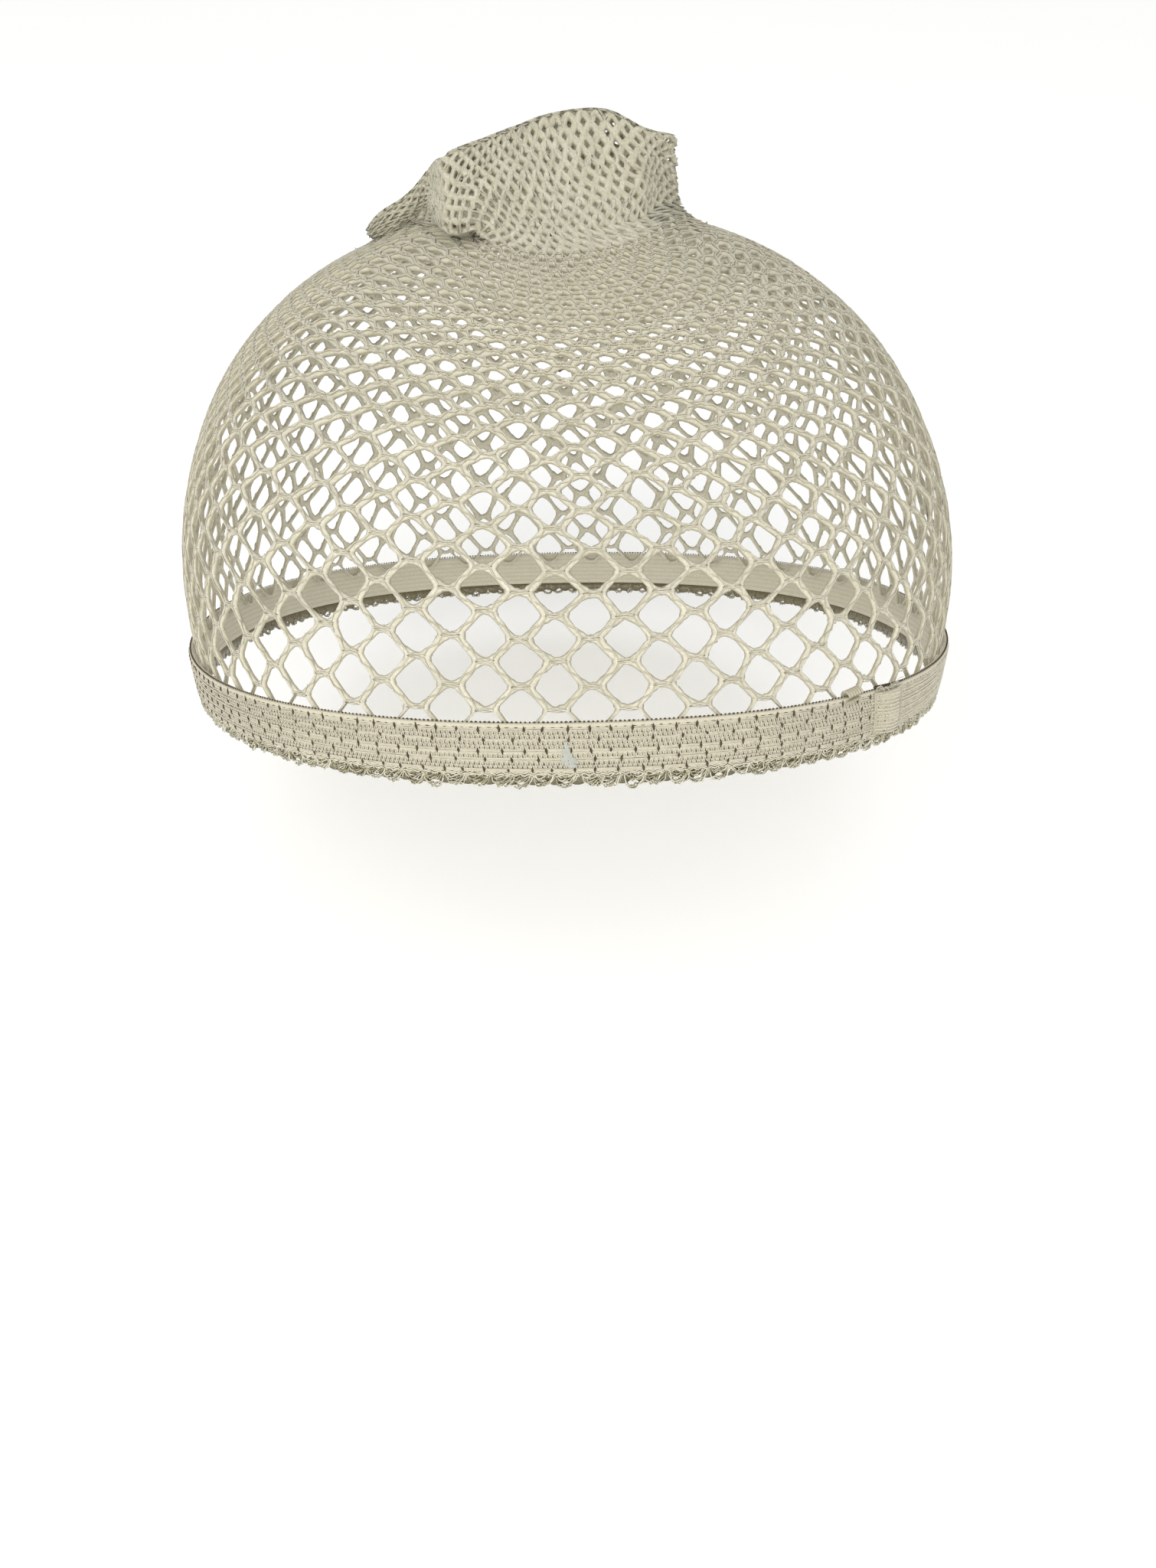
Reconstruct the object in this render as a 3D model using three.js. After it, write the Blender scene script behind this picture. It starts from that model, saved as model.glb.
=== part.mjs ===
import * as THREE from 'three'

// A knitted wig cap in its worn form: a coarse net dome, open in cells near its edge and close knit
// towards the crown, whose closed end stands up as a crumpled crest. The net is sewn to an elastic
// band with a lapped join, and the band carries a row of small loops along its lower edge.
// Millimetres, +Z up, the cap's front faces -Y. The origin is the middle of the head opening.

// The room inside the cap
const headHalfWidth = 77.1
const headHalfDepth = 91.5
const headTaper = 0.05
const crownRise = 57.4
const napeReach = 128
const widestLevel = 20.3
const planPower = 2.24
const profilePower = 2.1
const rimTilt = 0.4

// The net
const netWall = 1.1
const hemDepth = 3
const gapsAround = 30
const gapRows = 4
const gapRowStep = 7.6
const gapMargin = 1.4
const strandWidth = 2.2
const jointLength = 3.2
const columnsAbove = 60

// The crest, measured on the crown
const crestWidth = 66
const crestDepth = 48
const crestHeight = 18.5
const crestSide = -6
const crestSetBack = 20
const seamHalf = 1.35
const pocketHalf = 0.25
const leanPower = 1.45
const climbPower = 1.25
const tipSharpness = 4
const foldStart = 1.2
const foldEnd = 5

// The band, its join and its edging
const clearance = 0.3
const bandWidth = 8.4
const bandThickness = 1.1
const bandSteps = 96
const joinAngle = 0.63
const joinLength = 9
const joinThickness = 0.9
const joinInset = 0.5
const tailAngle = 0.56
const tailSpare = 0.2
const tailRadius = 1.9
const tailWall = 0.8
const tailLength = 4.5
const tailTurn = 1.5 * Math.PI
const tailSteps = 10
const loopDrop = 2.4
const loopPitch = 3.4
const loopThickness = 0.9
const loopValley = 0.4

// The crest's stations from its left tip (-1) to its right tip (1), seen from the front.
// The foot's and the seam's places are shares of crestWidth (X) and crestDepth (front and back);
// rise is how far the seam stands over the crown, as a share of crestHeight.
const crestStations = [
  { across: -1, footX: -0.5, footFront: -0.31, footBack: -0.31, seamX: -0.51, seamFront: -0.29, rise: -0.27 },
  { across: -0.72, footX: -0.38, footFront: -0.33, footBack: -0.48, seamX: -0.39, seamFront: -0.29, rise: -0.05 },
  { across: -0.5, footX: -0.26, footFront: -0.27, footBack: -0.5, seamX: -0.29, seamFront: -0.17, rise: 0.38 },
  { across: -0.36, footX: -0.15, footFront: 0.08, footBack: -0.5, seamX: -0.24, seamFront: 0.12, rise: 0.74 },
  { across: -0.1, footX: -0.03, footFront: 0.42, footBack: -0.5, seamX: -0.06, seamFront: -0.04, rise: 0.85 },
  { across: 0.2, footX: 0.09, footFront: 0.5, footBack: -0.5, seamX: 0.08, seamFront: -0.12, rise: 0.95 },
  { across: 0.5, footX: 0.23, footFront: 0.4, footBack: -0.5, seamX: 0.22, seamFront: -0.12, rise: 0.98 },
  { across: 0.76, footX: 0.35, footFront: 0.15, footBack: -0.48, seamX: 0.33, seamFront: -0.08, rise: 0.83 },
  { across: 1, footX: 0.5, footFront: -0.37, footBack: -0.37, seamX: 0.44, seamFront: -0.17, rise: 0.68 },
]

// The crest's folds. layer is 1 for the front layer and -1 for the back one; across and up place a
// fold, wide and tall are its reach, and right, forward and raise are its push in shares of crestHeight.
const crestFolds = [
  { layer: 1, across: -0.4, up: 0.34, wide: 0.12, tall: 0.3, right: -0.14, forward: 0.34, raise: -0.08 },
  { layer: 1, across: -0.62, up: 0.3, wide: 0.1, tall: 0.3, right: 0.1, forward: -0.2, raise: 0 },
  { layer: 1, across: -0.12, up: 0.62, wide: 0.22, tall: 0.16, right: 0, forward: 0.16, raise: 0.04 },
  { layer: 1, across: 0.25, up: 0.4, wide: 0.22, tall: 0.22, right: 0, forward: -0.12, raise: 0 },
  { layer: 1, across: 0.72, up: 0.66, wide: 0.1, tall: 0.3, right: 0, forward: 0.14, raise: 0 },
  { layer: 1, across: 0.9, up: 0.72, wide: 0.08, tall: 0.24, right: 0.04, forward: -0.14, raise: 0 },
  { layer: -1, across: -0.3, up: 0.5, wide: 0.16, tall: 0.3, right: 0, forward: 0.2, raise: 0 },
  { layer: -1, across: 0.1, up: 0.45, wide: 0.16, tall: 0.3, right: 0, forward: -0.16, raise: 0 },
  { layer: -1, across: 0.5, up: 0.5, wide: 0.16, tall: 0.3, right: 0, forward: 0.2, raise: 0 },
]

// How far up the crest each ring of its outer and inner skin lies
const crestRings = [
  { outer: 0.1, inner: 0.1 },
  { outer: 0.24, inner: 0.22 },
  { outer: 0.4, inner: 0.36 },
  { outer: 0.56, inner: 0.5 },
  { outer: 0.72, inner: 0.64 },
  { outer: 0.88, inner: 0.76 },
  { outer: 1, inner: 0.86 },
]

// Shares of the way from the top of the open cells to the crest's foot
const domeRings = [0.16, 0.34, 0.52, 0.7, 0.86, 1]

const netMaterial = new THREE.MeshStandardMaterial({ color: 0xd6ccb6, roughness: 0.95, metalness: 0 })
const bandMaterial = new THREE.MeshStandardMaterial({ color: 0xc4bda4, roughness: 0.85, metalness: 0 })
const loopMaterial = new THREE.MeshStandardMaterial({ color: 0xc9c2a2, roughness: 0.35, metalness: 0.1 })

const mix = (a, b, share) => a + (b - a) * share

// Reads one column of the station table, on a smooth curve through its rows
function stationValue(column, across) {
  const last = crestStations.length - 1
  let row = 0
  while (row < last - 1 && crestStations[row + 1].across < across) row += 1
  const start = crestStations[row]
  const end = crestStations[row + 1]
  const span = end.across - start.across
  const slopeAt = (index) => {
    const before = crestStations[Math.max(index - 1, 0)]
    const after = crestStations[Math.min(index + 1, last)]
    return (after[column] - before[column]) / (after.across - before.across)
  }
  const t = (across - start.across) / span
  const rise = t * t * (3 - 2 * t)
  const leave = t * (1 - t) * (1 - t) * span * slopeAt(row)
  const arrive = t * t * (t - 1) * span * slopeAt(row + 1)
  return mix(start[column], end[column], rise) + leave + arrive
}

// The head's half width at a depth, which tapers towards the face
const halfWidthAt = (y, offset) => (headHalfWidth + offset) * (1 + (headTaper * y) / headHalfDepth)

// The size of a level point in plan: 1 is on the head's widest outline
function planSize(x, y, offset) {
  const side = Math.abs(x / halfWidthAt(y, offset)) ** planPower
  const front = Math.abs(y / (headHalfDepth + offset)) ** planPower
  return (side + front) ** (1 / planPower)
}

// The size of a point measured from the head's centre: 1 is on the head
function headSize(point, offset) {
  const rise = Math.abs(point.z) / ((point.z > 0 ? crownRise : napeReach) + offset)
  const level = planSize(point.x, point.y, offset)
  return (level ** profilePower + rise ** profilePower) ** (1 / profilePower)
}

// The height of the head's crown over a level point
function crownHeight(x, y, offset) {
  return (crownRise + offset) * (1 - planSize(x, y, offset) ** profilePower) ** (1 / profilePower)
}

// A point of the tilted rim, drop below the net's lower edge, measured from the head's centre
function rimPoint(angle, drop, offset) {
  const along = (reach) => {
    const x = reach * Math.sin(angle)
    const y = -reach * Math.cos(angle)
    return new THREE.Vector3(x, y, -widestLevel - y * Math.tan(rimTilt) - drop / Math.cos(rimTilt))
  }
  let near = 0
  let far = 2 * headHalfDepth
  for (let step = 0; step < 40; step += 1) {
    const middle = (near + far) / 2
    if (headSize(along(middle), offset) < 1) near = middle
    else far = middle
  }
  return along(near)
}

// The angles that divide the rim into even lengths, read by their share of the way round
const rimSamples = 720
const rimLengths = [0]
for (let step = 1; step <= rimSamples; step += 1) {
  const from = rimPoint(((step - 1) / rimSamples) * 2 * Math.PI, 0, 0)
  const to = rimPoint((step / rimSamples) * 2 * Math.PI, 0, 0)
  rimLengths.push(rimLengths[step - 1] + from.distanceTo(to))
}
const rimLength = rimLengths[rimSamples]

function rimAngle(share) {
  const turns = Math.floor(share)
  const target = (share - turns) * rimLength
  let step = 1
  while (step < rimSamples && rimLengths[step] < target) step += 1
  const part = (target - rimLengths[step - 1]) / (rimLengths[step] - rimLengths[step - 1])
  return (turns + (step - 1 + part) / rimSamples) * 2 * Math.PI
}

// Turns a share of the way round into a place across the crest and the layer it lies in
function crestPlace(share) {
  const turn = share - Math.floor(share + 0.25)
  const across = turn < 0.25 ? 4 * turn : 2 - 4 * turn
  return { across, layer: turn < 0.25 ? 1 : -1 }
}

// A point of the crest at a height share up, measured from the head's centre
function crestPoint(share, up, side) {
  const place = crestPlace(share)
  const inset = side === 'inner' ? netWall : 0
  const across = place.across * (1 - (2 * inset) / crestWidth)
  const tip = Math.min(1, (1 - Math.abs(place.across)) * tipSharpness)
  const value = (column) => stationValue(column, across)
  const lean = 1 - (1 - up) ** leanPower
  const climb = up ** climbPower

  const x = crestSide + crestWidth * mix(value('footX'), value('seamX'), lean)
  const footMiddle = (value('footFront') + value('footBack')) / 2
  const footHalf = (crestDepth * (value('footFront') - value('footBack'))) / 2
  const middle = crestSetBack - crestDepth * mix(footMiddle, value('seamFront'), lean)
  const outerHalf = mix(footHalf, 0, lean) + seamHalf
  const half = side === 'inner' ? Math.max(outerHalf - inset, pocketHalf) : outerHalf
  const y = middle - place.layer * half * tip

  const foot = crownHeight(x, y, netWall - inset)
  const seam = crownRise + netWall + crestHeight * value('rise')
  const point = new THREE.Vector3(x, y, mix(foot, seam, climb))
  // Folds fade out at the crest's foot, at its seam and at its two tips
  const hold = Math.sin((Math.PI / 2) * Math.min(1, up * foldStart)) * Math.min(1, (1 - up) * foldEnd) * tip
  for (const fold of crestFolds) {
    if (fold.layer !== place.layer) continue
    const reach = ((place.across - fold.across) / fold.wide) ** 2 + ((up - fold.up) / fold.tall) ** 2
    const push = crestHeight * Math.exp(-reach) * hold
    point.x += fold.right * push
    point.y -= fold.forward * push
    point.z += fold.raise * push
  }
  return point
}

// The head's taper makes its size depend on the point, so a few steps settle a point on it
const taperSteps = 5

// A point of the dome, travel from 0 at the rim to 1 at the crest's foot, from the head's centre
function domePoint(share, travel, side) {
  const offset = side === 'inner' ? 0 : netWall
  const start = rimPoint(rimAngle(share), 0, offset).normalize()
  const end = crestPoint(share, 0, side).normalize()
  const angle = start.angleTo(end)
  const point = start.multiplyScalar(Math.sin((1 - travel) * angle))
  point.addScaledVector(end, Math.sin(travel * angle)).multiplyScalar(headHalfDepth / Math.sin(angle))
  for (let step = 0; step < taperSteps; step += 1) point.divideScalar(headSize(point, offset))
  return point
}

// The length of a net column from the rim to the crest's foot
function columnLength(share) {
  const steps = 12
  let length = 0
  for (let step = 0; step < steps; step += 1) {
    const from = domePoint(share, step / steps, 'outer')
    length += from.distanceTo(domePoint(share, (step + 1) / steps, 'outer'))
  }
  return length
}

// The width of one open cell's column at a height on the dome
function rowPitch(share, travel) {
  const half = 0.5 / gapsAround
  return domePoint(share - half, travel, 'outer').distanceTo(domePoint(share + half, travel, 'outer'))
}

// A shell grows from pairs of points: one on its outer skin and one on its inner skin.
// A panel is a face on both skins, and an edge closes the wall between them.
function makeShell() {
  const outer = []
  const inner = []
  const panels = []
  const edges = []
  return {
    point(outerPoint, innerPoint) {
      outer.push(outerPoint)
      inner.push(innerPoint)
      return outer.length - 1
    },
    panel(...corners) {
      const distinct = corners.filter((corner, index) => corners.indexOf(corner) === index)
      for (let index = 2; index < distinct.length; index += 1) {
        panels.push([distinct[0], distinct[index - 1], distinct[index]])
      }
    },
    edge(from, to) {
      edges.push([from, to])
    },
    geometry() {
      const geometry = new THREE.BufferGeometry().setFromPoints([...outer, ...inner])
      const skip = outer.length
      const index = []
      for (const [a, b, c] of panels) {
        index.push(a, b, c, c + skip, b + skip, a + skip)
      }
      for (const [a, b] of edges) {
        index.push(a + skip, b + skip, b, a + skip, b, a)
      }
      geometry.setIndex(index)
      geometry.computeVertexNormals()
      return geometry
    },
  }
}

const headCentre = new THREE.Vector3(0, 0, widestLevel)

function namedMesh(name, geometry, material) {
  const mesh = new THREE.Mesh(geometry, material)
  mesh.name = name
  return mesh
}

// A strip of panels between two rings that have the same number of points
function joinRings(shell, lower, upper) {
  for (let column = 0; column < lower.length; column += 1) {
    const next = (column + 1) % lower.length
    shell.panel(lower[column], lower[next], upper[next], upper[column])
  }
}

function makeNet() {
  const shell = makeShell()
  const lengths = new Map()
  const lengthAt = (share) => {
    if (!lengths.has(share)) lengths.set(share, columnLength(share))
    return lengths.get(share)
  }
  const netPoint = (share, height) => {
    const travel = height / lengthAt(share)
    return shell.point(domePoint(share, travel, 'outer'), domePoint(share, travel, 'inner'))
  }

  // Open cells are six-sided: a flat top and bottom at the knit joints, a corner at each side.
  // They are what the strands and joints of their width leave open between them.
  const makeGap = (row, column) => {
    const centre = (column + (row % 2) / 2) / gapsAround
    const level = gapMargin + gapRowStep * (row + 1)
    const pitch = rowPitch(centre, level / lengthAt(centre))
    const run = pitch / 2 - jointLength
    const inset = (strandWidth / 2) * (Math.hypot(run, gapRowStep) / gapRowStep)
    const halfTall = gapRowStep - strandWidth / 2
    const halfWide = pitch / 2 - jointLength / 2 - inset
    const halfFlat = jointLength / 2 + ((strandWidth / 2) * run) / gapRowStep - inset
    const sides = [-halfWide, -halfFlat, halfFlat, halfWide]
    const shares = sides.map((side) => centre + side / pitch / gapsAround)
    return {
      left: netPoint(shares[0], level),
      right: netPoint(shares[3], level),
      topLeft: netPoint(shares[1], level + halfTall),
      topRight: netPoint(shares[2], level + halfTall),
      bottomLeft: netPoint(shares[1], level - halfTall),
      bottomRight: netPoint(shares[2], level - halfTall),
      shares,
    }
  }
  const gaps = []
  for (let row = 0; row < gapRows; row += 1) {
    gaps.push([])
    for (let column = 0; column < gapsAround; column += 1) gaps[row].push(makeGap(row, column))
  }
  const gapAt = (row, column) => gaps[row][(column + gapsAround) % gapsAround]

  for (let row = 0; row < gapRows; row += 1) {
    for (let column = 0; column < gapsAround; column += 1) {
      const gap = gapAt(row, column)
      const ring = [gap.left, gap.bottomLeft, gap.bottomRight, gap.right, gap.topRight, gap.topLeft]
      ring.forEach((corner, index) => shell.edge(ring[(index + 1) % ring.length], corner))

      // The joint between this cell and the next one, with the cells above and below it
      const next = gapAt(row, column + 1)
      const between = column + (row % 2)
      const joint = []
      if (row > 0) {
        const below = gapAt(row - 1, between)
        joint.push(below.topLeft, below.topRight)
      }
      joint.push(next.left)
      if (row < gapRows - 1) {
        const above = gapAt(row + 1, between)
        joint.push(above.bottomRight, above.bottomLeft)
      }
      joint.push(gap.right)
      shell.panel(...joint)

      // The two strands that rise from this cell's sides
      if (row < gapRows - 1) {
        const right = gapAt(row + 1, between)
        const left = gapAt(row + 1, between - 1)
        shell.panel(gap.topRight, gap.right, right.bottomLeft, right.left)
        shell.panel(gap.left, gap.topLeft, left.right, left.bottomRight)
      }
    }
  }

  // The hem below the cells, tucked behind the band
  const firstRow = gaps[0].flatMap((gap) => [gap.left, gap.bottomLeft, gap.bottomRight, gap.right])
  const hem = gaps[0].flatMap((gap) =>
    gap.shares.map((share) => {
      const angle = rimAngle(share)
      return shell.point(rimPoint(angle, hemDepth, netWall), rimPoint(angle, hemDepth, 0))
    }),
  )
  joinRings(shell, hem, firstRow)
  hem.forEach((point, index) => shell.edge(point, hem[(index + 1) % hem.length]))

  // The closed wall above the cells, first with the cells' own columns
  const lastRow = gaps[gapRows - 1]
  const lastTops = lastRow.flatMap((gap) => [gap.left, gap.topLeft, gap.topRight, gap.right])
  const wallStart = gapMargin + gapRowStep * (gapRows + 1) + strandWidth / 2
  const wallShares = lastRow.flatMap((gap) => gap.shares)
  const wallFoot = wallShares.map((share) => netPoint(share, wallStart))
  joinRings(shell, lastTops, wallFoot)

  // Then with even columns that run on into the crest
  const evenRing = (makePoint) => {
    const ring = []
    for (let column = 0; column < columnsAbove; column += 1) ring.push(makePoint(column / columnsAbove))
    return ring
  }
  let ring = evenRing((share) => netPoint(share, wallStart + strandWidth))
  stitchRings(shell, wallFoot, wallShares, ring)
  for (const way of domeRings) {
    const next = evenRing((share) => {
      const travel = mix((wallStart + strandWidth) / lengthAt(share), 1, way)
      return shell.point(domePoint(share, travel, 'outer'), domePoint(share, travel, 'inner'))
    })
    joinRings(shell, ring, next)
    ring = next
  }
  for (const level of crestRings) {
    const next = evenRing((share) =>
      shell.point(crestPoint(share, level.outer, 'outer'), crestPoint(share, level.inner, 'inner')),
    )
    joinRings(shell, ring, next)
    ring = next
  }

  // The seam that closes the crest, front layer to back layer
  const quarter = columnsAbove / 4
  const at = (column) => ring[(column + columnsAbove) % columnsAbove]
  for (let column = -quarter; column < quarter; column += 1) {
    shell.panel(at(column), at(column + 1), at(2 * quarter - column - 1), at(2 * quarter - column))
  }
  return namedMesh('net', shell.geometry(), netMaterial)
}

// Joins a ring to one with fewer, even columns, always taking the nearer next point
function stitchRings(shell, lower, lowerShares, upper) {
  let low = 0
  let high = Math.round(lowerShares[0] * upper.length)
  const lowerEnd = lower.length
  const upperEnd = high + upper.length
  const lowAt = (index) => lower[index % lower.length]
  const highAt = (index) => upper[((index % upper.length) + upper.length) % upper.length]
  const lowShare = (index) => lowerShares[index % lower.length] + Math.floor(index / lower.length)
  while (low < lowerEnd || high < upperEnd) {
    const lowNext = low < lowerEnd ? lowShare(low + 1) : Infinity
    const highNext = high < upperEnd ? (high + 1) / upper.length : Infinity
    if (lowNext < highNext) {
      shell.panel(lowAt(low), lowAt(low + 1), highAt(high))
      low += 1
    } else {
      shell.panel(lowAt(low), highAt(high + 1), highAt(high))
      high += 1
    }
  }
}

// A ribbon on the head, closed into a ring: dropRows gives the drop of each row, lowest row first
function makeRibbonRing(steps, inside, thickness, dropRows) {
  const shell = makeShell()
  const rings = dropRows.map((dropAt) => {
    const ring = []
    for (let step = 0; step < steps; step += 1) {
      const angle = rimAngle(step / steps)
      const drop = dropAt(step)
      ring.push(shell.point(rimPoint(angle, drop, inside + thickness), rimPoint(angle, drop, inside)))
    }
    return ring
  })
  for (let row = 1; row < rings.length; row += 1) joinRings(shell, rings[row - 1], rings[row])
  const bottom = rings[0]
  const top = rings[rings.length - 1]
  for (let step = 0; step < steps; step += 1) {
    const next = (step + 1) % steps
    shell.edge(bottom[step], bottom[next])
    shell.edge(top[next], top[step])
  }
  return shell.geometry()
}

const bandInside = netWall + clearance

function makeBand() {
  const rows = [() => bandWidth, () => bandWidth / 2, () => 0]
  const geometry = makeRibbonRing(bandSteps, bandInside, bandThickness, rows)
  return namedMesh('elastic_band', geometry, bandMaterial)
}

// The edging's lower edge goes up and down once for each loop
function makeLoops() {
  const loops = Math.round(rimLength / loopPitch)
  const inside = bandInside + (bandThickness - loopThickness) / 2
  const top = bandWidth + clearance
  const dropAt = (step) => top + loopDrop * (step % 2 === 0 ? loopValley : 1)
  const geometry = makeRibbonRing(2 * loops, inside, loopThickness, [dropAt, () => top])
  return namedMesh('picot_edge', geometry, loopMaterial)
}

// The band's lapped end: a second ply over the first
function makeJoin() {
  const shell = makeShell()
  const inside = bandInside + bandThickness + clearance
  const half = joinLength / 2 / headHalfDepth
  const steps = 4
  const rows = [bandWidth - joinInset, joinInset]
  const grid = rows.map(() => [])
  for (let step = 0; step <= steps; step += 1) {
    const angle = joinAngle + mix(-half, half, step / steps)
    rows.forEach((drop, row) => {
      const outerPoint = rimPoint(angle, drop, inside + joinThickness)
      grid[row].push(shell.point(outerPoint, rimPoint(angle, drop, inside)))
    })
  }
  const [bottom, top] = grid
  for (let step = 0; step < steps; step += 1) {
    shell.panel(bottom[step], bottom[step + 1], top[step + 1], top[step])
    shell.edge(bottom[step], bottom[step + 1])
    shell.edge(top[step + 1], top[step])
  }
  shell.edge(bottom[steps], top[steps])
  shell.edge(top[0], bottom[0])
  return namedMesh('band_join', shell.geometry(), bandMaterial)
}

// The cut end of the elastic, curled over above the join
function makeTail() {
  const outline = new THREE.Shape()
  outline.absarc(0, 0, tailRadius, 0, tailTurn, false)
  outline.absarc(0, 0, tailRadius - tailWall, tailTurn, 0, true)
  outline.closePath()
  const geometry = new THREE.ExtrudeGeometry(outline, {
    depth: tailLength,
    bevelEnabled: false,
    curveSegments: tailSteps,
  })
  geometry.translate(0, 0, -tailLength / 2)
  const mesh = namedMesh('band_tail', geometry, bandMaterial)
  const seat = netWall + clearance + tailRadius + tailSpare
  mesh.position.copy(rimPoint(tailAngle, -tailRadius - clearance, seat))
  const alongBand = new THREE.Vector3(Math.cos(tailAngle), Math.sin(tailAngle), 0)
  mesh.quaternion.setFromUnitVectors(new THREE.Vector3(0, 0, 1), alongBand)
  return mesh
}

const cap = new THREE.Group()
cap.position.copy(headCentre)
cap.add(makeNet(), makeBand(), makeJoin(), makeTail(), makeLoops())

export default cap
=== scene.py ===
"""The looks of a knitted wig cap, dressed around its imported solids.

The shape functions work in millimetres from the head's centre, and place() turns them into the row
frame's metres. The cap's front faces -Y, and a share is a place round the cap: 0 is the middle of the
front, and it grows towards +X. A row is one row of net cells, counted up from the band's top edge.
"""

import math
from collections import namedtuple

import bpy
import numpy as np
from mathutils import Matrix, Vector


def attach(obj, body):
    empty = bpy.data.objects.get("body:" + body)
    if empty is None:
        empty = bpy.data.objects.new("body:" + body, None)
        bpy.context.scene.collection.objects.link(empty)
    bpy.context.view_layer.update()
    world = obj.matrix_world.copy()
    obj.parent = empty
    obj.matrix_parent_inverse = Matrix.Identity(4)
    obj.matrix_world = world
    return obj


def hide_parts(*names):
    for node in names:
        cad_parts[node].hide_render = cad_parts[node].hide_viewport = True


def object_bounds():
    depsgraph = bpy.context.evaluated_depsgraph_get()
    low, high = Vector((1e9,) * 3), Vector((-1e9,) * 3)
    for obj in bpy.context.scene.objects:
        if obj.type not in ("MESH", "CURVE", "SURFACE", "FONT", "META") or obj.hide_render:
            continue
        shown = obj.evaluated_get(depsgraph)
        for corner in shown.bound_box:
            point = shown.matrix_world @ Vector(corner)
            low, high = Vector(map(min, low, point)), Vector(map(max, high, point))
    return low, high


MM = 0.001
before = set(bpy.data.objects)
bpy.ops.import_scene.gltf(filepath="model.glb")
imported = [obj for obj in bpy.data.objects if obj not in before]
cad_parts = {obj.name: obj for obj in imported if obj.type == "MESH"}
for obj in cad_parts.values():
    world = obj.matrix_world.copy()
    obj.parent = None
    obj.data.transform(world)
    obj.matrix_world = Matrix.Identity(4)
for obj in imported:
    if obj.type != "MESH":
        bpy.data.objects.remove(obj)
cad_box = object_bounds()
rng = np.random.default_rng(7)

# The head space and the solids' sizes, as in the part's source
HEAD_HALF_WIDTH = 77.1
HEAD_HALF_DEPTH = 91.5
HEAD_TAPER = 0.05
CROWN_RISE = 57.4
NAPE_REACH = 128.0
WIDEST_LEVEL = 20.3
PLAN_POWER = 2.24
PROFILE_POWER = 2.1
RIM_TILT = 0.4
NET_WALL = 1.1
CLEARANCE = 0.3
BAND_WIDTH = 8.4
BAND_THICKNESS = 1.1
BAND_INSIDE = NET_WALL + CLEARANCE

# The crest, close to the part's source: here its left tip falls lower, and a fold makes a pocket
CREST_WIDTH = 66.0
CREST_DEPTH = 48.0
CREST_HEIGHT = 18.5
CREST_SIDE = -6.0
CREST_SET_BACK = 20.0
SEAM_HALF = 1.35
LEAN_POWER = 1.45
CLIMB_POWER = 1.25
TIP_SHARPNESS = 4.0
FOLD_START = 1.2
FOLD_END = 5.0
CORNER_START = 0.8
CORNER_FALL = 0.25
EVEN_COLUMNS = 0.85
CREST_STATIONS = {
    "across": (-1, -0.72, -0.5, -0.36, -0.1, 0.2, 0.5, 0.76, 1),
    "foot_x": (-0.5, -0.38, -0.26, -0.15, -0.03, 0.09, 0.23, 0.35, 0.5),
    "foot_front": (-0.31, -0.33, -0.27, 0.08, 0.42, 0.5, 0.4, 0.15, -0.37),
    "foot_back": (-0.31, -0.48, -0.5, -0.5, -0.5, -0.5, -0.5, -0.48, -0.37),
    "seam_x": (-0.51, -0.39, -0.29, -0.24, -0.06, 0.08, 0.22, 0.33, 0.44),
    "seam_front": (-0.29, -0.29, -0.17, 0.12, -0.04, -0.12, -0.12, -0.08, -0.17),
    "rise": (-0.27, -0.05, 0.38, 0.74, 0.85, 0.95, 0.98, 0.83, 0.68),
}
Fold = namedtuple("Fold", "layer across up wide tall push")
CREST_FOLDS = (
    Fold(1, -0.4, 0.38, 0.13, 0.24, (-0.14, 0.42, -0.12)),
    Fold(1, -0.42, 0.12, 0.1, 0.12, (0, -0.5, 0)),
    Fold(1, -0.62, 0.3, 0.1, 0.3, (0.1, -0.2, 0)),
    Fold(1, -0.12, 0.62, 0.22, 0.16, (0, 0.16, 0.04)),
    Fold(1, 0.25, 0.4, 0.22, 0.22, (0, -0.12, 0)),
    Fold(1, 0.72, 0.66, 0.1, 0.3, (0, 0.14, 0)),
    Fold(1, 0.9, 0.72, 0.08, 0.24, (0.04, -0.14, 0)),
    Fold(-1, -0.3, 0.5, 0.16, 0.3, (0, 0.2, 0)),
    Fold(-1, 0.1, 0.45, 0.16, 0.3, (0, -0.16, 0)),
    Fold(-1, 0.5, 0.5, 0.16, 0.3, (0, 0.2, 0)),
)

# The net's lattice: joints lie on whole rows, and row 0 is the first above the band
CELLS_AROUND = 48
DOME_ROWS = 20
CREST_ROWS = 8
FIRST_JOINTS = 1.6
OPEN_ROW = 7.8
CLOSE_ROW = 3.7
ROW_DECAY = 7.6
DECAY_POWER = 2.6
CREST_TWIST = 0.03
HEM_ROWS = 0.5
SWEEP_ROWS = 1.9
POCKET_HOLD = 0.9
POCKET_SHARE = -0.1
POCKET_WIDE = 0.035

# How far the columns fan out at the front, and how far they drift sideways, by row
COLUMN_COURSE = {
    "row": (0, 1.5, 3.2, 9, 13, 18, 20.5, 22, 28),
    "fan": (0, 0, 0.13, 0.17, 0.25, 0.36, 0.15, -0.25, -0.35),
    "drift": (-0.42, -0.35, -0.25, -0.2, -0.2, -0.2, -0.2, -0.2, -0.2),
}
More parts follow.
